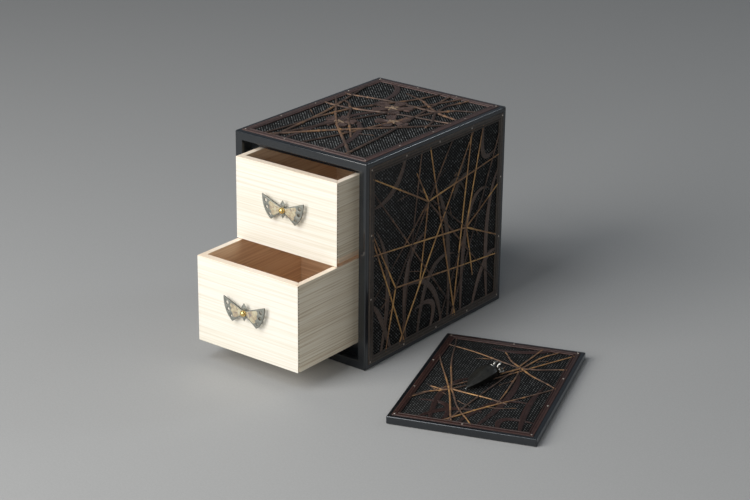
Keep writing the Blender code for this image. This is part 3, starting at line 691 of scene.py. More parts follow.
grid = add(tree, "GeometryNodeTransform", {"Geometry": grid, "Rotation": from_xyz(tree, z=given["slant"]),
                                           "Translation": from_xyz(tree, z=given["level"])}).outputs[0]
place = add(tree, "ShaderNodeSeparateXYZ", {"Vector": add(tree, "GeometryNodeInputPosition").outputs[0]})
beyond = [sums(tree, "GREATER_THAN", sums(tree, "ABSOLUTE", place.outputs[axis], 0.0), given[half])
          for axis, half in (("X", "half_width"), ("Y", "half_height"))]
outside = sums(tree, "MAXIMUM", *beyond)
grid = add(tree, "GeometryNodeDeleteGeometry", {"Geometry": grid, "Selection": outside},
           domain="POINT").outputs[0]
chance = [add(tree, "FunctionNodeRandomValue",
              {2: low, 3: high, "Seed": sums(tree, "ADD", given["seed"], 1.0 * k)},
              data_type="FLOAT").outputs[1]
          for k, (low, high) in enumerate(((0.75, 0.98), (0.70, 1.20), (-0.16, 0.16), (0.30, 0.92)))]
spindle = add(tree, "GeometryNodeMeshUVSphere", {"Segments": 8, "Rings": 2, "Radius": 0.5}).outputs[0]
size = from_xyz(tree, sums(tree, "MULTIPLY", given["thread_long"], chance[0]), given["thread_wide"],
                sums(tree, "MULTIPLY", given["thread_high"], chance[1]))
turn = from_xyz(tree, z=sums(tree, "ADD", given["slant"], chance[2]))
threads = add(tree, "GeometryNodeInstanceOnPoints", {"Points": grid, "Instance": spindle, "Rotation": turn,
                                                     "Scale": size}).outputs[0]
# Painted shade: each face's thread tones are dimmed by its own factor.
tone = sums(tree, "MULTIPLY", chance[3], given["shade"])
threads = add(tree, "GeometryNodeStoreNamedAttribute", {"Geometry": threads, "Name": "tone", "Value": tone},
              data_type="FLOAT", domain="INSTANCE").outputs[0]
both = add(tree, "GeometryNodeJoinGeometry", {"Geometry": threads})
tree.links.new(given["Geometry"], both.inputs[0])
close_tree(tree, both.outputs[0], given, end)
twill = tree

# %% [markdown]
# ## Stems
# A stem is a line of points, each with its own thickness, which becomes a curve and then a round rod.
# The rod is pressed to two thirds of its height, because the stems are carved in relief.

# %% Stem tree
tree, given, end = new_tree("stems", sides=8, flatness=0.66, level=0.0, material=stem_gold)
lines = add(tree, "GeometryNodeMeshToCurve", {"Mesh": given["Geometry"]}).outputs[0]
ring = add(tree, "GeometryNodeCurvePrimitiveCircle", {"Resolution": given["sides"], "Radius": 1.0}).outputs[0]
thick = add(tree, "GeometryNodeInputNamedAttribute", {"Name": "thick"}, data_type="FLOAT").outputs[0]
rods = add(tree, "GeometryNodeCurveToMesh", {"Curve": lines, "Profile Curve": ring, "Scale": thick,
                                             "Fill Caps": True}).outputs[0]
flat = add(tree, "GeometryNodeTransform", {"Geometry": rods,
                                           "Scale": from_xyz(tree, 1.0, 1.0, given["flatness"]),
                                           "Translation": from_xyz(tree, z=given["level"])}).outputs[0]
close_tree(tree, flat, given, end)
stem_rods = tree

# %% [markdown]
# ## Pins
# Small domed pins hold each openwork frame. A flattened sphere is set on every point of a list.

# %% Pin tree
tree, given, end = new_tree("pins", radius=0.0008, dome=0.0006, material=silver)
ball = add(tree, "GeometryNodeMeshUVSphere", {"Segments": 12, "Rings": 8, "Radius": 1.0}).outputs[0]
size = from_xyz(tree, given["radius"], given["radius"], given["dome"])
heads = add(tree, "GeometryNodeInstanceOnPoints", {"Points": given["Geometry"], "Instance": ball,
                                                   "Scale": size}).outputs[0]
close_tree(tree, heads, given, end)
pin_heads = tree


# %% [markdown]
# ## Carved relief
# Leaves, petals, wings and frame bands are all low relief: rows of points across the shape, taken one
# after the other along it, with a flat underside. The collector below keeps each point's place in the
# shape for the veins, and makes one closed shell of each set of rows.


# %% Carved relief
PLATE_FOOT = -0.0004         # underside of the openwork, from the face of the board
PLATE_TOP = 0.0008


class Relief:
    """Closed carved shapes gathered into one mesh."""

    def __init__(self):
        self.points = []
        self.faces = []
        self.grain = []

    def shell(self, rows, tone, ring=False, foot=PLATE_FOOT):
        """Adds a shape; each row is a list of (x, y, z, across). A ring's last row meets its first."""
        first, n, m = len(self.points), len(rows), len(rows[0])
        along = 0.0
        for k, row in enumerate(rows):
            if k:
                along += math.dist(row[m // 2][:2], rows[k - 1][m // 2][:2])
            self.points += [(x, y, z) for x, y, z, _ in row]
            self.grain += [(along, across, tone) for _, _, _, across in row]
        for row in rows:
            self.points += [(x, y, foot) for x, y, _, _ in row]
            self.grain += [(0.0, across, tone) for _, _, _, across in row]

        def at(k, j, under=0):
            return first + (under * n + k % n) * m + j

        for k in range(n if ring else n - 1):
            for j in range(m - 1):
                self.faces.append((at(k, j), at(k, j + 1), at(k + 1, j + 1), at(k + 1, j)))
                self.faces.append((at(k, j, 1), at(k + 1, j, 1), at(k + 1, j + 1, 1), at(k, j + 1, 1)))
            self.faces.append((at(k, 0), at(k + 1, 0), at(k + 1, 0, 1), at(k, 0, 1)))
            self.faces.append((at(k, m - 1), at(k, m - 1, 1), at(k + 1, m - 1, 1), at(k + 1, m - 1)))
        if not ring:
            for k, side in ((0, 1), (n - 1, -1)):
                for j in range(m - 1):
                    self.faces.append((at(k, j), at(k, j, 1), at(k, j + 1, 1), at(k, j + 1))[::side])

    def mesh(self, name, matrix):
        made = mesh_of(name, self.points, self.faces)
        mark = made.attributes.new("grain", "FLOAT_VECTOR", "POINT")
        mark.data.foreach_set("vector", [c for g in self.grain for c in g])
        made.set_sharp_from_angle(angle=math.radians(48))
        made.transform(matrix)
        return made


# %% [markdown]
# ## Frame band
# Each frame is a flat strip mitred at its corners, with a thin groove near its inner edge. Its section
# is a short list of shares, and four copies of it, one at each corner, are joined round the rectangle.


# %% Frame band
def frame_band(relief_work, width, height, band):
    """A mitred frame with softened edges and a groove inside its middle."""
    section = [(0.0, -0.1), (0.0, 0.62), (0.04, 0.86), (0.09, 1.0), (0.60, 1.0), (0.65, 0.50), (0.71, 0.50),
               (0.76, 1.04), (0.90, 1.04), (0.97, 0.80), (1.0, 0.50), (1.0, -0.1)]
    rows = []
    for sx, sy in ((1, 1), (-1, 1), (-1, -1), (1, -1)):
        row = []
        for share, rise in section:
            inset = share * band
            row.append((sx * (width / 2 - inset), sy * (height / 2 - inset),
                        PLATE_FOOT + rise * (PLATE_TOP - PLATE_FOOT), share * 0.4))
        rows.append(row)
    relief_work.shell(rows, 0.35, ring=True)


# %% [markdown]
# ## Leaves
# A long grass leaf follows a curve that rises, arches over and ends in a point. It is widest before
# its middle, has a sunk rib down its centre, and lies a little lower than the stems that cross it.

# %% Leaves
BLADE = 0.0060
SWELL = [0.45, 0.75, 0.95, 1.0, 0.92, 0.75, 0.48, 0.1]
LEAF_SECTION = [(-1.0, 0.30), (-0.84, 0.66), (-0.45, 0.88), (-0.10, 0.97), (0.0, 0.72), (0.10, 0.97),
                (0.45, 0.88), (0.84, 0.66), (1.0, 0.30)]


def curve_points(start, pull, end, count):
    """Points on the curve that leaves start towards pull and arrives at end from it."""
    steps = [i / count for i in range(count + 1)]
    return [((1 - t) ** 2 * start[0] + 2 * t * (1 - t) * pull[0] + t * t * end[0],
             (1 - t) ** 2 * start[1] + 2 * t * (1 - t) * pull[1] + t * t * end[1]) for t in steps]


def between(values, share):
    """A value read from a list of evenly spaced ones."""
    place = share * (len(values) - 1)
    k = min(int(place), len(values) - 2)
    return values[k] + (place - k) * (values[k + 1] - values[k])


def leaf(relief_work, start, pull, tip, width, tallness, tone, steps=26):
    """One leaf along its curve."""
    path = curve_points(start, pull, tip, steps)
    rows = []
    for i, (x, y) in enumerate(path):
        ax, ay = path[max(i - 1, 0)]
        bx, by = path[min(i + 1, steps)]
        long = math.hypot(bx - ax, by - ay)
        half = width / 2 * between(SWELL, i / steps)
        nx, ny = -(by - ay) / long * half, (bx - ax) / long * half
        top = (PLATE_TOP - PLATE_FOOT) * tallness * (0.72 + 0.28 * between(SWELL, i / steps))
        rows.append([(x - nx * s, y - ny * s, PLATE_FOOT + top * h, s) for s, h in LEAF_SECTION])
    relief_work.shell(rows, tone)


# %% [markdown]
# ## Bellflowers and the dragonfly
# A bellflower has five broad petals that part near its heart. Each petal is a small relief of rows
# from heart to tip, fluted across and toothed at its rim. The dragonfly is a ringed body, two round
# eyes and four long wings, each made like a leaf.

# %% Bellflowers and the dragonfly
FLOWER = 0.0205
DRAGONFLY = 0.0340
PETAL_SHAPE = [(0.08, 0.05), (0.20, 0.09), (0.34, 0.13), (0.48, 0.175), (0.62, 0.22), (0.74, 0.255),
               (0.85, 0.28), (0.93, 0.285), (0.98, 0.26), (1.0, 0.23)]


def petal(relief_work, centre, radius, angle, tone):
    """One petal of a bellflower, from its heart outwards, fluted and lifted at its rim."""
    rows = []
    columns = 16
    for reach, half in PETAL_SHAPE:
        row = []
        for j in range(columns + 1):
            s = 2 * j / columns - 1
            tooth = 0.06 * (j % 2) * max(reach - 0.72, 0) / 0.28
            x = radius * (reach - tooth - 0.09 * reach * s * s)
            y = -radius * half * s
            flute = 0.20 * (j % 2) * min(reach * 2, 1)
            height = 0.70 + 0.75 * max(reach - 0.25, 0) ** 1.2 + 0.30 * s * s * reach - flute
            row.append((centre[0] + x * math.cos(angle) - y * math.sin(angle),
                        centre[1] + x * math.sin(angle) + y * math.cos(angle),
                        PLATE_FOOT + height * (PLATE_TOP - PLATE_FOOT), s * 0.40))
        rows.append(row)
    relief_work.shell(rows, tone)


def mound(relief_work, centre, long, broad, height, turn, tone, rings=7, sides=14):
    """A rounded oval lump, drawn as rows from one end to the other."""
    rows = []
    for k in range(rings + 1):
        a = math.pi * (0.02 + 0.96 * k / rings)
        row = []
        for j in range(sides + 1):
            b = math.pi * j / sides
            x = -long / 2 * math.cos(a)
            y = broad / 2 * math.sin(a) * math.cos(b)
            z = height * math.sin(a) * math.sin(b)
            row.append((centre[0] + x * math.cos(turn) - y * math.sin(turn),
                        centre[1] + x * math.sin(turn) + y * math.cos(turn), centre[2] + z, math.cos(b)))
        rows.append(row)
    relief_work.shell(rows, tone, foot=centre[2] - 0.0002)


def bellflower(relief_work, centre, radius, turn):
    """Five petals, a tan heart and five short stamens."""
    for k in range(5):
        petal(relief_work, centre, radius, turn + 2 * math.pi * k / 5, 0.6)
    level = PLATE_TOP - 0.0006
    for k in range(5):
        angle = turn + 2 * math.pi * (k + 0.5) / 5
        place = (centre[0] + 0.20 * radius * math.cos(angle), centre[1] + 0.20 * radius * math.sin(angle),
                 level)
        mound(relief_work, place, radius * 0.34, radius * 0.13, 0.0010, angle, 0.95, 5, 8)
    mound(relief_work, (centre[0], centre[1], level), radius * 0.30, radius * 0.30, 0.0013, turn, 1.0)


def dragonfly(relief_work, centre, turn, length):
    """A ringed body, two eyes and four wings."""
    def along(share):
        return (centre[0] + share * length * math.cos(turn), centre[1] + share * length * math.sin(turn))

    for side in (1, -1):
        for share, spread in ((0.20, 74), (0.05, 112)):
            angle = turn + side * math.radians(spread)
            root = along(share)
            tip = (root[0] + 0.55 * length * math.cos(angle), root[1] + 0.55 * length * math.sin(angle))
            pull = ((root[0] + tip[0]) / 2 + 0.02 * length * math.cos(turn),
                    (root[1] + tip[1]) / 2 + 0.02 * length * math.sin(turn))
            leaf(relief_work, root, pull, tip, 0.15 * length, 0.80, 0.42, 18)
    for k in range(9):
        share = -0.46 + 0.072 * k
        mound(relief_work, (*along(share), PLATE_FOOT + 0.0002), 0.085 * length, (0.050 + 0.004 * k) * length,
              0.0009, turn, 0.45, 5, 8)
    mound(relief_work, (*along(0.20), PLATE_FOOT + 0.0002), 0.20 * length, 0.12 * length, 0.0010, turn, 0.35)
    for side in (1, -1):
        x, y = along(0.34)
        place = (x - side * 0.035 * length * math.sin(turn), y + side * 0.035 * length * math.cos(turn),
                 PLATE_FOOT + 0.0002)
        mound(relief_work, place, 0.075 * length, 0.075 * length, 0.0009, turn, 0.7)


# %% [markdown]
# ## Designs
# The designs are the same tables as the solid plates are cut by: shares of the field's half width and
# half height. A fan is its root, first and last angle and stems, a burst is its knot, first angle and
# twigs, a leaf its root, pull and tip, and a flower its middle and size.

# %% Designs
STEM = 0.0018
SHORT_TWIG = 0.62
DESIGNS = {
    "top": {
        "fans": [((-0.62, -1.0), 48, 104, 3), ((0.72, -1.0), 98, 142, 2)],
        "bursts": [((-0.52, 0.10), 12, 6), ((0.56, 0.52), 40, 7)],
        "leaves": [((-0.40, -1.04), (-0.50, 0.1), (0.05, 0.30)),
                   ((0.46, -1.04), (0.30, -0.2), (-0.25, -0.15)),
                   ((-0.86, 1.04), (-0.3, 0.9), (-0.42, 0.22))],
        "flowers": [((-0.06, 0.36), 1.0), ((0.34, 0.02), 0.86), ((-0.26, -0.30), 0.78)],
    },
    "right": {
        "fans": [((-0.55, -1.0), 58, 118, 3), ((0.30, -1.0), 66, 128, 4)],
        "bursts": [((-0.16, 0.44), 8, 7), ((0.48, -0.06), 30, 7), ((-0.66, -0.36), 55, 5)],
        "leaves": [((-0.48, -1.04), (-0.62, 0.0), (-0.16, 0.12)),
                   ((-0.30, -1.04), (-0.18, -0.1), (0.30, -0.30)),
                   ((0.10, -1.04), (-0.02, -0.3), (-0.56, -0.42)),
                   ((0.42, -1.04), (0.40, 0.5), (0.86, 0.28)),
                   ((0.62, -1.04), (0.80, -0.4), (1.04, -0.5)),
                   ((-0.72, -1.04), (-0.90, -0.5), (-1.04, -0.42)),
                   ((0.20, -1.04), (0.26, 0.3), (-0.10, 0.62)),
                   ((-0.88, -1.04), (-0.64, -0.1), (-0.96, 0.36)),
                   ((0.88, -1.04), (0.74, 0.1), (1.04, 0.50)),
                   ((-0.10, -1.04), (0.10, -0.62), (-0.34, -0.72)),
                   ((-0.52, 1.04), (-0.66, 0.60), (-1.04, 0.62)),
                   ((0.74, 1.04), (0.66, 0.52), (0.94, 0.70))],
        "dragonfly": ((0.36, 0.50), 128),
    },
    "left": {
        "fans": [((0.40, -1.0), 70, 122, 3)],
        "bursts": [((-0.40, 0.30), 20, 5)],
        "leaves": [((0.30, -1.04), (0.10, 0.0), (-0.40, 0.10)),
                   ((0.55, -1.04), (0.70, 0.1), (0.20, 0.42)),
                   ((-0.50, -1.04), (-0.70, -0.3), (-0.20, -0.10))],
    },
    "back": {
        "fans": [((-0.35, -1.0), 62, 108, 3)],
        "bursts": [((0.36, 0.34), 50, 5)],
        "leaves": [((-0.20, -1.04), (0.0, 0.1), (0.50, 0.02)),
                   ((0.50, -1.04), (0.60, -0.3), (0.05, -0.28))],
    },
    "lid": {
        "fans": [((-0.25, -1.0), 50, 116, 3)],
        "bursts": [((0.34, 0.46), 15, 7), ((-0.50, -0.28), 50, 6)],
        "leaves": [((-0.10, -1.04), (0.20, -0.2), (0.78, -0.36)),
                   ((-0.52, -1.04), (-0.80, -0.1), (-0.30, 0.06)),
                   ((0.20, -1.04), (0.60, 0.0), (0.30, 0.40)),
                   ((0.70, 1.04), (0.15, 0.8), (-0.30, 0.88)),
                   ((-0.74, -1.04), (-0.40, -0.60), (0.16, -0.70)),
                   ((0.56, -1.04), (0.30, -0.66), (1.04, -0.78)),
                   ((0.88, -1.04), (0.70, -0.4), (0.86, 0.12)),
                   ((-0.34, -1.04), (-0.20, -0.50), (-0.88, -0.62))],
    },
}


def to_frame(root, angle, half_width, half_height):
    """Where a straight stem from the root meets the frame of the field."""
    over = CASE_BAND / 3
    dx, dy = math.cos(angle), math.sin(angle)
    reach = []
    if abs(dx) > 1e-6:
        reach.append((math.copysign(half_width + over, dx) - root[0]) / dx)
    if abs(dy) > 1e-6:
        reach.append((math.copysign(half_height + over, dy) - root[1]) / dy)
    return root[0] + min(reach) * dx, root[1] + min(reach) * dy


def stem_lines(design, half_width, half_height):
    """Start, end and end thickness of each straight stem of a design."""
    made = []
    for root, first, last, count in design["fans"]:
        for i in range(count):
            angle = math.radians(first + (last - first) * (i + 0.23 * math.sin(5.1 * i)) / max(count - 1, 1))
            foot = (root[0] * half_width + (i - (count - 1) / 2) * 1.6 * STEM, root[1] * half_height)
            made.append((to_frame(foot, angle + math.pi, half_width, half_height),
                         to_frame(foot, angle, half_width, half_height), 0.8))
    for knot, first, count in design["bursts"]:
        x, y = knot[0] * half_width, knot[1] * half_height
        for i in range(count):
            angle = math.radians(first + 360 * (i + 0.2 * math.sin(3.7 * i)) / count)
            end = to_frame((x, y), angle, half_width, half_height)
            share = SHORT_TWIG if i % 3 == 2 else 1.0
            made.append(((x, y), (x + share * (end[0] - x), y + share * (end[1] - y)), 0.7))
    return made


# %% [markdown]
# ## Stem points
# A real stem is not a ruled line: it has joints where it swells, and it bends a little between them.
# Points are set close together at each joint, and some stems carry a thin side twig.

# %% Stem points
JOINTS = (0.22, 0.46, 0.71)
JOINT_HALF, JOINT_SWELL = 0.0016, 0.0012


def stem_points(start, end, end_share, thickness, seed, sway, gilding):
    """Points, thicknesses and share of gold along one stem."""
    dx, dy = end[0] - start[0], end[1] - start[1]
    long = math.hypot(dx, dy)
    joints = [j + 0.07 * math.sin(seed * 2.3 + 9 * j) for j in JOINTS] if long > 0.03 else [0.5]
    shares = {i / 12 for i in range(13)}
    for j in joints:
        shares |= {j - JOINT_HALF / long, j, j + JOINT_HALF / long}
    made = []
    for t in sorted(shares):
        bend = sway * (math.sin(math.pi * t) * math.sin(seed * 1.7 + 0.6)
                       + 0.3 * math.sin(2 * math.pi * t + seed) - 0.3 * math.sin(seed))
        bend *= math.sin(math.pi * t) ** 0.5 if 0 < t < 1 else 0
        swell = max(math.exp(-((t - j) * long / JOINT_SWELL) ** 2) for j in joints)
        radius = thickness / 2 * (1 - (1 - end_share) * t) * (0.92 + 0.30 * swell)
        gold = gilding + 0.22 * math.sin(5 * t + 2.9 * seed) + 0.15 * swell
        made.append((start[0] + t * dx - bend * dy / long, start[1] + t * dy + bend * dx / long,
                     radius, gold))
    return made


def line_mesh(stems):
    """A mesh of edges for many stems, with each point's thickness and gold as attributes."""
    points, edges = [], []
    for stem in stems:
        first = len(points)
        points += stem
        edges += [(first + i, first + i + 1) for i in range(len(stem) - 1)]
    mesh = bpy.data.meshes.new("stem lines")
    mesh.from_pydata([(x, y, 0) for x, y, _, _ in points], edges, [])
    mesh.attributes.new("thick", "FLOAT", "POINT").data.foreach_set("value", [p[2] for p in points])
    mesh.attributes.new("gold", "FLOAT", "POINT").data.foreach_set("value", [p[3] for p in points])
    return mesh


def side_twigs(lines):
    """A thin twig from the joint of every second long stem."""
    made = []
    for k, (start, end, _) in enumerate(lines):
        dx, dy = end[0] - start[0], end[1] - start[1]
        if k % 2 or math.hypot(dx, dy) < 0.05:
            continue
        t = 0.40 + 0.12 * math.sin(3.1 * k)
        turn = math.radians(34 if k % 4 else -34)
        share = 0.20
        root = (start[0] + t * dx, start[1] + t * dy)
        made.append((root, (root[0] + share * (dx * math.cos(turn) - dy * math.sin(turn)),
                            root[1] + share * (dx * math.sin(turn) + dy * math.cos(turn))), 0.5))
    return made


# %% [markdown]
# ## Dressing the faces
# Now each face gets its four pieces: the weave, the carved openwork, the gold stems and the pins.

# %% Dressing the faces
THREAD = 0.0034              # length of a thread on the surface
ROW = 0.00230                # from one slanting row to the next
THREAD_HIGH = 0.00115
THREAD_LEVEL = 0.00072       # middle of the threads, above the underside of their panel
PANEL = 0.00075
PIN_RADIUS, PIN_DOME = 0.00090, 0.00045
STEM_HABIT = {               # sway, gold, gold of the brown ones, girth
    "top": (0.0036, 0.20, 0.12, 1.85),
    "right": (0.0003, 0.70, 0.14, 1.08),
    "lid": (0.0024, 0.45, 0.30, 1.10),
    "left": (0.0003, 0.64, 0.12, 1.0),
    "back": (0.0003, 0.64, 0.12, 1.0),
}
# Painted shade: the threads of faces that get less light are dimmed, the lid most.
PAINTED_SHADE = {"top": 1.0, "right": 0.92, "lid": 0.72, "left": 0.85, "back": 0.85}      # how light the threads are
PINS = {"top": (2, 3), "right": (3, 2), "lid": (1, 2), "left": (3, 2), "back": (1, 2)}


def pin_places(width, height, band, on_width, on_height):
    """Pins at the corners and evenly between them along both pairs of sides."""
    x, y = width / 2 - 0.34 * band, height / 2 - 0.34 * band
    places = [(sx * x, sy * y) for sx in (-1, 1) for sy in (-1, 1)]
    for side in (-1, 1):
        places += [(x * (2 * (k + 1) / (on_width + 1) - 1), side * y) for k in range(on_width)]
        places += [(side * x, y * (2 * (k + 1) / (on_height + 1) - 1)) for k in range(on_height)]
    return places


def woven_ground(face):
    """The twill behind one face's openwork."""
    matrix, width, height, band = FACES[face]
    low = FIT - GROUND_RECESS
    panel = box_mesh(face + " panel", (-width / 2, -height / 2, low), (width / 2, height / 2, low + PANEL))
    half_width, half_height = width / 2 - band + 0.0004, height / 2 - band + 0.0004
    reach = 2 * math.hypot(half_width, half_height)
    mesh = grown(twill, panel, half_width=half_width, half_height=half_height, reach=reach,
                 in_row=int(reach / THREAD), rows=int(reach / ROW), thread_long=THREAD,
                 thread_wide=ROW * 0.62, thread_high=THREAD_HIGH, level=low + THREAD_LEVEL,
                 shade=PAINTED_SHADE[face])
    mesh.transform(matrix)
    piece(face + "_weave", mesh, None, "case", "woven_ground", face + "_ground")


def dress(face):
    """All four pieces of one face."""
    woven_ground(face)
    matrix, width, height, band = FACES[face]
    design = DESIGNS[face]
    half_width, half_height = width / 2 - band, height / 2 - band
    work = Relief()
    frame_band(work, width, height, band)
    for k, points in enumerate(design["leaves"]):
        start, pull, tip = ((x * half_width, y * half_height) for x, y in points)
        leaf(work, start, pull, tip, BLADE, 0.74 + 0.08 * math.sin(2.1 * k), 0.12 + 0.08 * math.sin(1.3 * k))
    for k, ((x, y), share) in enumerate(design.get("flowers", [])):
        bellflower(work, (x * half_width, y * half_height), FLOWER * share, 0.4 + 0.7 * k)
    if "dragonfly" in design:
        (x, y), turn = design["dragonfly"]
        dragonfly(work, (x * half_width, y * half_height), math.radians(turn), DRAGONFLY)
    piece(face + "_carving", work.mesh(face + " carving", matrix), openwork[face], "case", "openwork",
          face + "_openwork")

    lines = stem_lines(design, half_width, half_height)
    sway, gilt_stems, brown_stems, girth = STEM_HABIT[face]
    stems = [stem_points(*line, STEM * girth, k, sway, brown_stems if k % 5 in (1, 3) else gilt_stems)
             for k, line in enumerate(lines)]
    stems += [stem_points(*line, STEM * 0.55, k + 40, sway / 2, brown_stems)
              for k, line in enumerate(side_twigs(lines))]
    mesh = grown(stem_rods, line_mesh(stems), level=PLATE_TOP - 0.62 * STEM / 2)
    mesh.transform(matrix)
    piece(face + "_stems", mesh, None, "case", "openwork")

    spots = bpy.data.meshes.new("pin places")
    places = pin_places(width, height, band, *PINS[face])
    spots.from_pydata([(x, y, PLATE_TOP - 0.00005) for x, y in places], [], [])
    mesh = grown(pin_heads, spots, radius=PIN_RADIUS, dome=PIN_DOME, material=pin_metal)
    mesh.transform(matrix)
    piece(face + "_pins", mesh, None, "case", "silver")


for face in STEM_HABIT:
    dress(face)


# %% [markdown]
# ## Drawers
# Each drawer is five thin boards. The front is a little thicker than the rest. It is mitred to the
# sides and laps over the bottom board, so a thin line shows where the bottom ends. The boards take
# their places from the solids' boxes, but are drawn anew with tight mitres and softened edges.


# %% Drawers
BOARD, FRONT_BOARD = 0.0055, 0.0076
LAP = 0.0027                 # what is left of the front board before the bottom board
SEAM = 0.00006               # hairline between glued boards
EDGE, FLOOR_EDGE = 0.0004, 0.0003        # softening of the boards' edges


def prism(name, outline, foot, top):
    """A flat outline raised between two heights."""
    n = len(outline)
    points = [(x, y, foot) for x, y in outline] + [(x, y, top) for x, y in outline]
    faces = [tuple(range(n)), tuple(range(n, 2 * n))]
    faces += [(i, (i + 1) % n, n + (i + 1) % n, n + i) for i in range(n)]
    return mesh_of(name, points, faces, smooth=False)


def softened(mesh, width):
    """A board with small rounded edges."""
    thing = loose("board", mesh)
    step = thing.modifiers.new("soft edges", "BEVEL")
    step.width = width
    step.segments = 2
    step.limit_method = "ANGLE"
    step.angle_limit = math.radians(30)
    return polished(settled(thing), 50)


def inside_out(mesh, outer, middle):
    """Gives a board its outer finish, a lighter, warmer copy on top as painted light, and a warmer copy where
    it faces into the drawer as painted bounce light.
    """
    for wood in (outer, wood_inside_painted_bounce, wood_top_painted_light):
        mesh.materials.append(wood)
    for face in mesh.polygons:
        # Painted light: faces turned up take the lighter, warmer top wood.
        if face.normal.z > 0.35:
            face.material_index = 2
        # Painted bounce light: faces turned into the drawer take the warmer inside wood.
        elif abs(face.normal.z) < 0.5 and face.area > 1e-4 and face.normal.dot(middle - face.center) > 0.01:
            face.material_index = 1
    return mesh


def drawer(name, floor_wood):
    """The five boards of one drawer."""
    body = name + "_drawer"
    low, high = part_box(name + "_front")
    half, front, foot, top = high.x, low.y, low.z, high.z
    floor_low, floor_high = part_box(name + "_bottom")
    back, floor_top = floor_high.y, floor_high.z
    board_foot = floor_top + SEAM
    middle = Vector((0, (front + back) / 2, (foot + top) / 2))
    mitre = SEAM * math.hypot(BOARD, FRONT_BOARD) / BOARD
    for side, label in ((1, "right"), (-1, "left")):
        outline = [(side * half, front + mitre), (side * half, back), (side * (half - BOARD), back),
                   (side * (half - BOARD), front + FRONT_BOARD + mitre)]
        board = inside_out(softened(prism(label, outline, board_foot, top), EDGE), wood_y, middle)
        piece(f"{name}_{label}_board", board, None, body, "paulownia", f"{name}_{label}_side")
    outline = [(-half, front), (half, front), (half - BOARD, front + FRONT_BOARD),
               (BOARD - half, front + FRONT_BOARD)]
    face_board = loose("front", prism("front", outline, foot, top))
    below = box_mesh("below", (-half - 0.01, front + LAP, foot - 0.01),
                     (half + 0.01, front + 0.02, board_foot))
    board = inside_out(softened(carve_out(face_board, [below]), EDGE), wood_x, middle)
    piece(f"{name}_front_board", board, None, body, "paulownia", f"{name}_front")
    inner = half - BOARD - SEAM
    board = softened(box_mesh("back", (-inner, back - BOARD, board_foot), (inner, back, top)), EDGE)
    piece(f"{name}_back_board", inside_out(board, wood_x, middle), None, body, "paulownia", f"{name}_back")
    board = softened(box_mesh("bottom", (-half, front + LAP + FIT, floor_low.z), (half, back, floor_top)),
                     FLOOR_EDGE)
    board.materials.append(floor_wood)
    board.materials.append(wood_inside_painted_bounce)
    for face in board.polygons:
        # Painted bounce light: the bottom's upper face takes the warmer inside wood.
        face.material_index = int(face.normal.z > 0.5)
    piece(f"{name}_bottom_board", board, None, body, "paulownia", f"{name}_bottom")


# The upper drawer's bottom takes the copy with painted bounce light; the lower drawer's bottom is plain
# lengthwise wood.
drawer("upper", wood_floor_painted_bounce)
drawer("lower", wood_y)

# %% [markdown]
# ## Pegs at the corners
# Each mitred corner is held by a row of tiny bamboo pegs, a little darker than the wood. They are set
# in a line behind the front's edge, on both sides, with the same tree as the pins.

# %% Pegs at the corners
PEG_PITCH = 0.0027
PEG_RADIUS = 0.00055
PEG_BEHIND = 0.0013          # from the drawer's face to the row
peg_wood = paulownia("bamboo pegs", (1, 1, 1), (0.26, 0.20, 0.12), (0.20, 0.14, 0.085), (0.13, 0.09, 0.055))
for name in ("upper", "lower"):
    low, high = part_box(name + "_right_side")
    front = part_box(name + "_front")[0].y
    rows = int((high.z - low.z - 0.002) / PEG_PITCH)
    meshes = []
    for side in (1, -1):
        spots = bpy.data.meshes.new("peg places")
        spots.from_pydata([(0, low.z + 0.0016 + k * PEG_PITCH, 0) for k in range(rows + 1)], [], [])
        mesh = grown(pin_heads, spots, radius=PEG_RADIUS, dome=0.00005, material=peg_wood)
        mesh.transform(face_frame((side * high.x, front + PEG_BEHIND, 0), (0, side, 0), (0, 0, 1)))
        meshes.append(mesh)
    piece(name + "_pegs", joined(name + " pegs", *meshes), peg_wood, name + "_drawer", "paulownia")


# %% [markdown]
# ## Butterfly pulls
# A pull is a thin pierced plate cut as a butterfly, which stands off the drawer on a short post. A
# flat curve makes it: its outline and its three holes are closed splines, its extrusion is the
# plate's thickness and its bevel softens every edge, inside the holes too. Pearl is let into each
# wing as two joined lobes, the body is a ridged double diamond, and a gilt bead sits before it.

# %% Butterfly pulls
WING_SPAN, WING_RISE, WING_DROP = 0.0243, 0.0112, 0.0116
WING_PLATE = 0.0011
PULL_STANDOFF = 0.0034
BEAD = 0.0029
POST = 0.0016
INLAY, INLAY_SUNK = 0.00030, 0.00012
HOLES = ((0.81, 0.48, 0.00170), (0.76, -0.06, 0.00150), (0.62, -0.58, 0.00120))


def circle(centre, radius):
    """Points round a circle."""
    turns = [2 * math.pi * i / 20 for i in range(20)]
    return [(centre[0] + radius * math.cos(a), centre[1] + radius * math.sin(a)) for a in turns]


def eased(outline, amount, steps):
    """An outline with each corner rounded by a small arc."""
    made = []
    n = len(outline)
    for i in range(n):
        here, prior, after = (Vector(outline[k % n]) for k in (i, i - 1, i + 1))
        a = here + (prior - here).normalized() * min(amount, (prior - here).length / 2.2)
        b = here + (after - here).normalized() * min(amount, (after - here).length / 2.2)
        made += curve_points(a, here, b, steps)
    return made


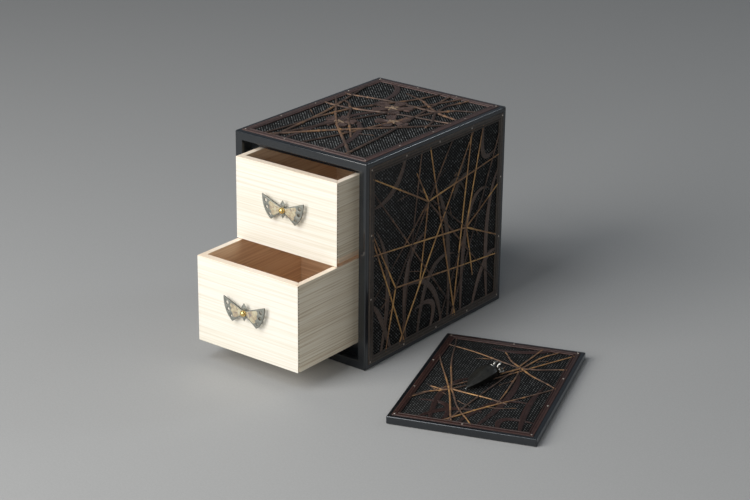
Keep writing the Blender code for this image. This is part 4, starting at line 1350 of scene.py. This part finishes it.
def flat_plate(name, outlines, thickness, bevel):
    """A plate from closed outlines, the first solid and the rest holes, standing on z = 0."""
    curve = bpy.data.curves.new(name, "CURVE")
    curve.dimensions = "2D"
    curve.fill_mode = "BOTH"
    curve.extrude = thickness / 2 - bevel
    curve.bevel_depth = bevel
    curve.bevel_resolution = 1
    curve.offset = -bevel
    for outline in outlines:
        spline = curve.splines.new("POLY")
        spline.points.add(len(outline) - 1)
        for point, (x, y) in zip(spline.points, outline):
            point.co = (x, y, 0, 1)
        spline.use_cyclic_u = True
    mesh = settled(loose(name, curve))
    shape = bmesh.new()
    shape.from_mesh(mesh)
    bmesh.ops.remove_doubles(shape, verts=shape.verts, dist=1e-6)
    bmesh.ops.recalc_face_normals(shape, faces=shape.faces)
    shape.to_mesh(mesh)
    shape.free()
    mesh.transform(Matrix.Translation((0, 0, thickness / 2)))
    mesh.shade_smooth()
    mesh.set_sharp_from_angle(angle=math.radians(40))
    return mesh


def wing_outline():
    """The right wing: out along its upper edge, down its bowed outer edge, and back."""
    tip, corner = (WING_SPAN, WING_RISE), (WING_SPAN * 0.58, -WING_DROP)
    outer = curve_points(tip, (WING_SPAN * 1.0, -WING_DROP * 0.35), corner, 8)
    upper = curve_points((0.0010, 0.0021), (0.0115, 0.0062), tip, 5)[:-1]
    lower = curve_points(corner, (0.0075, -0.0062), (0.0010, -0.0022), 5)[1:]
    points = upper + outer + lower
    return eased(points[::-1], 0.00045, 2)


def pearl_outline():
    """Inlay from the root of the wing outwards, ending in three round lobes before the holes."""
    upper = curve_points((0.0023, 0.0016), (0.0090, 0.0044), (0.0142, 0.0060), 4)
    lower = curve_points((0.0105, -0.0074), (0.0066, -0.0044), (0.0023, -0.0017), 4)
    lobes = (((0.0139, 0.0038), 0.0023, 80, -55), ((0.0132, -0.0006), 0.0023, 50, -60),
             ((0.0112, -0.0046), 0.0023, 30, -95))
    edge = []
    for middle, radius, first, last in lobes:
        turns = [math.radians(first + (last - first) * k / 6) for k in range(7)]
        edge += [(middle[0] + radius * math.cos(a), middle[1] + radius * math.sin(a)) for a in turns]
    return (upper[:-1] + edge + lower[1:])[::-1]


def mirrored(outline, side):
    """The outline itself, or its mirror image with its order kept."""
    return outline if side > 0 else [(-x, y) for x, y in outline][::-1]


def gem(outline, height, foot):
    """A faceted lump that rises from an outline to a point over its middle."""
    n = len(outline)
    middle = (sum(x for x, _ in outline) / n, sum(y for _, y in outline) / n)
    points = [(x, y, foot) for x, y in outline] + [(x, y, foot + 0.4 * height) for x, y in outline]
    points.append((*middle, foot + height))
    faces = [tuple(range(n))] + [(i, (i + 1) % n, n + (i + 1) % n, n + i) for i in range(n)]
    faces += [(n + i, n + (i + 1) % n, 2 * n) for i in range(n)]
    return mesh_of("body", points, faces, smooth=False)


def turned(name, profile, sides=28):
    """A shape spun round Z from (radius, height) pairs; a zero radius closes an end."""
    points, faces, rings = [], [], []
    for radius, height in profile:
        ring = []
        for i in range(sides if radius else 1):
            a = 2 * math.pi * i / sides
            ring.append(len(points))
            points.append((radius * math.cos(a), radius * math.sin(a), height))
        rings.append(ring)
    for one, two in zip(rings, rings[1:]):
        for i in range(sides):
            corners = [one[i % len(one)], one[(i + 1) % len(one)], two[(i + 1) % len(two)], two[i % len(two)]]
            face = list(dict.fromkeys(corners))
            if len(face) > 2:
                faces.append(tuple(face))
    for ring in (rings[0], rings[-1]):
        if len(ring) > 1:
            faces.append(tuple(ring))
    return mesh_of(name, points, faces)


def butterfly(name):
    """The plate, inlay, body, post and bead of one pull."""
    body = name + "_drawer"
    low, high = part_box(name + "_pull_plate")
    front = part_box(name + "_front")[0].y
    middle = high.z - WING_RISE
    upright = face_frame((0, front - PULL_STANDOFF, middle), (1, 0, 0), (0, 0, 1))
    plates, inlays = [], []
    for side in (1, -1):
        holes = [circle((side * x * WING_SPAN, z * (WING_RISE if z > 0 else WING_DROP)), r)[::-1]
                 for x, z, r in HOLES]
        wing = flat_plate("wing", [mirrored(wing_outline(), side)] + holes, WING_PLATE, 0.00032)
        wing.materials.append(pewter)
        wing.materials.append(dark_pewter_edge)
        # Side faces of the plate take the darker pewter.
        for facet in wing.polygons:
            facet.material_index = int(abs(facet.normal.z) < 0.9)
        plates.append(wing)
        inlay = flat_plate("inlay", [mirrored(pearl_outline(), side)], INLAY, 0.00008)
        inlay.transform(Matrix.Translation((0, 0, WING_PLATE - INLAY_SUNK)))
        inlays.append(inlay)
    plates.append(gem([(0, 0.0008), (0.0029, 0.0052), (0, 0.0096), (-0.0029, 0.0052)], 0.0016, 0.0005))
    plates.append(gem([(0, -0.0078), (0.0025, -0.0042), (0.0015, -0.0016), (-0.0015, -0.0016),
                       (-0.0025, -0.0042)], 0.0014, 0.0005))
    post = turned("post", [(POST * 1.5, -PULL_STANDOFF), (POST * 1.5, 0.0006 - PULL_STANDOFF),
                           (POST, 0.0010 - PULL_STANDOFF), (POST, 0.0005)])
    plates.append(post)
    for mesh in plates + inlays:
        mesh.transform(upright)
        if not mesh.materials:
            mesh.materials.append(pewter)
    piece(name + "_butterfly", joined("butterfly", *plates), None, body, "pewter", name + "_pull_plate")
    piece(name + "_pearl", joined("pearl", *inlays), pearl, body, "pewter")
    arc = [(BEAD * math.cos(a), BEAD * math.sin(a)) for a in (math.radians(d) for d in range(-55, 90, 9))]
    bead = turned("bead", [(0.0012, -0.0029), (0.0012, arc[0][1])] + arc + [(0, BEAD)])
    bead.transform(Matrix.Translation((0, 0, WING_PLATE + FIT + 0.0007)))
    bead.transform(upright)
    piece(name + "_bead", bead, gilt, body, "gilt", name + "_pull_bead")


butterfly("upper")
butterfly("lower")

# %% [markdown]
# ## The lid's knob
# The knob is a cicada at rest with its head raised. Its folded wings are one lofted body, broad at the
# shoulders, undercut towards the foot and drawn to a silver point behind, with thin raised ribs that
# all meet there. Before them come a silver collar, a dark thorax, a short head with two smoky glass
# eyes in silver rims, and raised silver feelers.

# %% The lid's knob
KNOB_LENGTH, KNOB_WIDTH = 0.0330, 0.0178
KNOB_SHOULDER, KNOB_TAIL = 0.0130, 0.0024
KNOB_PLACE = (-0.0083, -0.0061)
KNOB_TURN = math.radians(-25)
RIB_ANGLES = (90, 66, 114, 43, 137)
RIB = 0.00022
EYE_OUT, EYE_AHEAD, EYE_RADIUS = 0.0044, 0.0080, 0.0031
EYE_RIM = 0.0032
knob_frame = (lid_turn @ Matrix.Translation((*KNOB_PLACE, LID_THICKNESS + PLATE_TOP + 0.0001))
              @ Matrix.Rotation(KNOB_TURN, 4, "Z"))


def lofted(name, sections):
    """A closed skin over a row of sections, each a closed ring of points."""
    m = len(sections[0])
    points = [p for section in sections for p in section]
    faces = []
    for k in range(len(sections) - 1):
        for i in range(m):
            j = (i + 1) % m
            faces.append((k * m + i, k * m + j, (k + 1) * m + j, (k + 1) * m + i))
    faces.append(tuple(range(m)))
    faces.append(tuple(range((len(sections) - 1) * m, len(sections) * m)))
    mesh = mesh_of(name, points, faces)
    mesh.set_sharp_from_angle(angle=math.radians(50))
    return mesh


def body_section(y, half_width, height, ribs=0.0, sides=60, peak=0.0, rim=0.20):
    """One section across the cicada: its back, widest at a share of its height, and a narrow foot."""
    belly = rim * height
    made = []
    for i in range(sides + 1):
        a = math.pi * i / sides
        rib = ribs * max(math.exp(-((math.degrees(a) - r) / 2.4) ** 2) for r in RIB_ANGLES)
        rise = (1 - peak) * math.sin(a) + peak * (1 - abs(math.cos(a)) ** 1.5)
        made.append(((half_width + rib) * math.copysign(abs(math.cos(a)) ** 1.15, math.cos(a)), y,
                     belly + (height - belly + rib) * rise))
    for share, rise in ((-0.80, 0.66 * rim), (-0.44, 0.0), (0.44, 0.0), (0.80, 0.66 * rim)):
        made.append((share * half_width, y, rise * height))
    return made


WING_BREADTH = ((0.0, 0.86), (0.03, 0.94), (0.10, 0.99), (0.22, 1.0), (0.36, 0.98), (0.50, 0.91),
                (0.64, 0.78), (0.76, 0.61), (0.87, 0.40), (0.95, 0.20), (1.0, 0.08))


def wing_breadth(t):
    """How broad the folded wings are, as a share, from the shoulders (0) to the tail (1)."""
    for (t0, w0), (t1, w1) in zip(WING_BREADTH, WING_BREADTH[1:]):
        if t <= t1:
            return w0 + (w1 - w0) * (t - t0) / (t1 - t0)
    return WING_BREADTH[-1][1]


def wing_sections():
    """The folded wings from the shoulders to the tail."""
    made = []
    for k in range(41):
        t = k / 40
        height = KNOB_TAIL + (KNOB_SHOULDER - KNOB_TAIL) * math.cos(math.pi * t / 2) ** 0.9
        made.append(body_section(KNOB_LENGTH * (0.5 - t), KNOB_WIDTH / 2 * wing_breadth(t), height,
                                 RIB if t < 0.97 else 0.0, peak=0.6, rim=0.72))
    return made


def ball(centre, radius):
    """A round bead about a place."""
    turns = [math.pi * k / 10 for k in range(1, 10)]
    profile = [(radius * math.sin(a), -radius * math.cos(a)) for a in turns]
    mesh = turned("ball", [(0, -radius)] + profile + [(0, radius)], 18)
    mesh.transform(Matrix.Translation(centre))
    return mesh


def tube(name, points, radii):
    """A round wire through points, with its own thickness at each."""
    curve = bpy.data.curves.new(name, "CURVE")
    curve.dimensions = "3D"
    curve.bevel_depth = 1.0
    curve.bevel_resolution = 3
    curve.use_fill_caps = True
    spline = curve.splines.new("POLY")
    spline.points.add(len(points) - 1)
    for point, place, radius in zip(spline.points, points, radii):
        point.co = (*place, 1)
        point.radius = radius
    mesh = settled(loose(name, curve))
    return mesh_of(name, [v.co[:] for v in mesh.vertices], [tuple(p.vertices) for p in mesh.polygons])


shoulder_y = KNOB_LENGTH / 2
shoulder_half = KNOB_WIDTH / 2 * 0.58
horn_parts = joined("cicada", lofted("wings", wing_sections()))
horn_parts.transform(knob_frame)
piece("cicada_wings", horn_parts, horn, "case", "dark_horn", "lid_knob_wings")

THORAX = ((0.0, 1.00, 0.0124), (0.0008, 1.03, 0.0126), (0.0030, 0.98, 0.0124), (0.0052, 0.86, 0.0117),
          (0.0066, 0.70, 0.0107), (0.0072, 0.62, 0.0098))
HEAD = ((0.0072, 0.62, 0.0096), (0.0080, 0.70, 0.0098), (0.0098, 0.66, 0.0094), (0.0112, 0.50, 0.0084),
        (0.0121, 0.28, 0.0070), (0.0124, 0.10, 0.0058))
front_parts = []
for label, table in (("thorax", THORAX), ("head", HEAD)):
    sections = [body_section(shoulder_y + ahead, shoulder_half * broad, tall, sides=32)
                for ahead, broad, tall in table]
    front_parts.append(lofted(label, sections))
head = joined("thorax and head", *front_parts)
head.transform(knob_frame)
piece("cicada_head", head, horn, "case", "dark_horn", "lid_knob_head")

eye_y = shoulder_y + EYE_AHEAD
eyes = joined("eyes", *[ball((side * EYE_OUT, eye_y, 0.0064), EYE_RADIUS) for side in (1, -1)])
eyes.transform(knob_frame)
piece("cicada_eyes", eyes, dark_glass, "case", "dark_horn")

collar = []
for k in range(25):
    a = math.radians(28 + 124 * k / 24)
    collar.append(((shoulder_half + 0.0002) * math.copysign(abs(math.cos(a)) ** 1.15, math.cos(a)),
                   shoulder_y + 0.0004, 0.0026 + 0.0104 * math.sin(a)))
silver_parts = [tube("collar", collar, [0.00042] * 25)]
tail_tip = turned("tail tip", [(0.0009, 0), (0.0008, 0.0012), (0.0004, 0.0026), (0, 0.0032)], 12)
tail_tip.transform(Matrix.Translation((0, 0.0010 - shoulder_y, 0.0013))
                   @ Matrix.Rotation(math.radians(97), 4, "X"))
silver_parts.append(tail_tip)
RIM_TURNS = [math.radians(a) for a in range(-60, 31, 10)]
FEELER = ((0.0020, 0.0064, 0.0090, 0.0009), (0.0024, 0.0076, 0.0110, 0.0011),      # out, ahead, up, radius
          (0.0024, 0.0088, 0.0118, 0.0010), (0.0020, 0.0106, 0.0122, 0.0008),
          (0.0016, 0.0120, 0.0124, 0.0005))
SPUR = ((0.0024, 0.0084, 0.0116, 0.0009), (0.0040, 0.0086, 0.0120, 0.0006))
for side in (1, -1):
    ring = [(side * (EYE_OUT + EYE_RIM * math.cos(a)), eye_y + EYE_RIM * math.sin(a), 0.0062)
            for a in RIM_TURNS]
    silver_parts.append(tube("eye rim", ring, [0.0006] * len(ring)))
    for label, table in (("feeler", FEELER), ("spur", SPUR)):
        silver_parts.append(tube(label, [(side * x, shoulder_y + y, z) for x, y, z, _ in table],
                                 [radius for *_, radius in table]))
silver_work = joined("silver work", *silver_parts)
silver_work.transform(knob_frame)
piece("cicada_silver", silver_work, silver, "case", "silver")
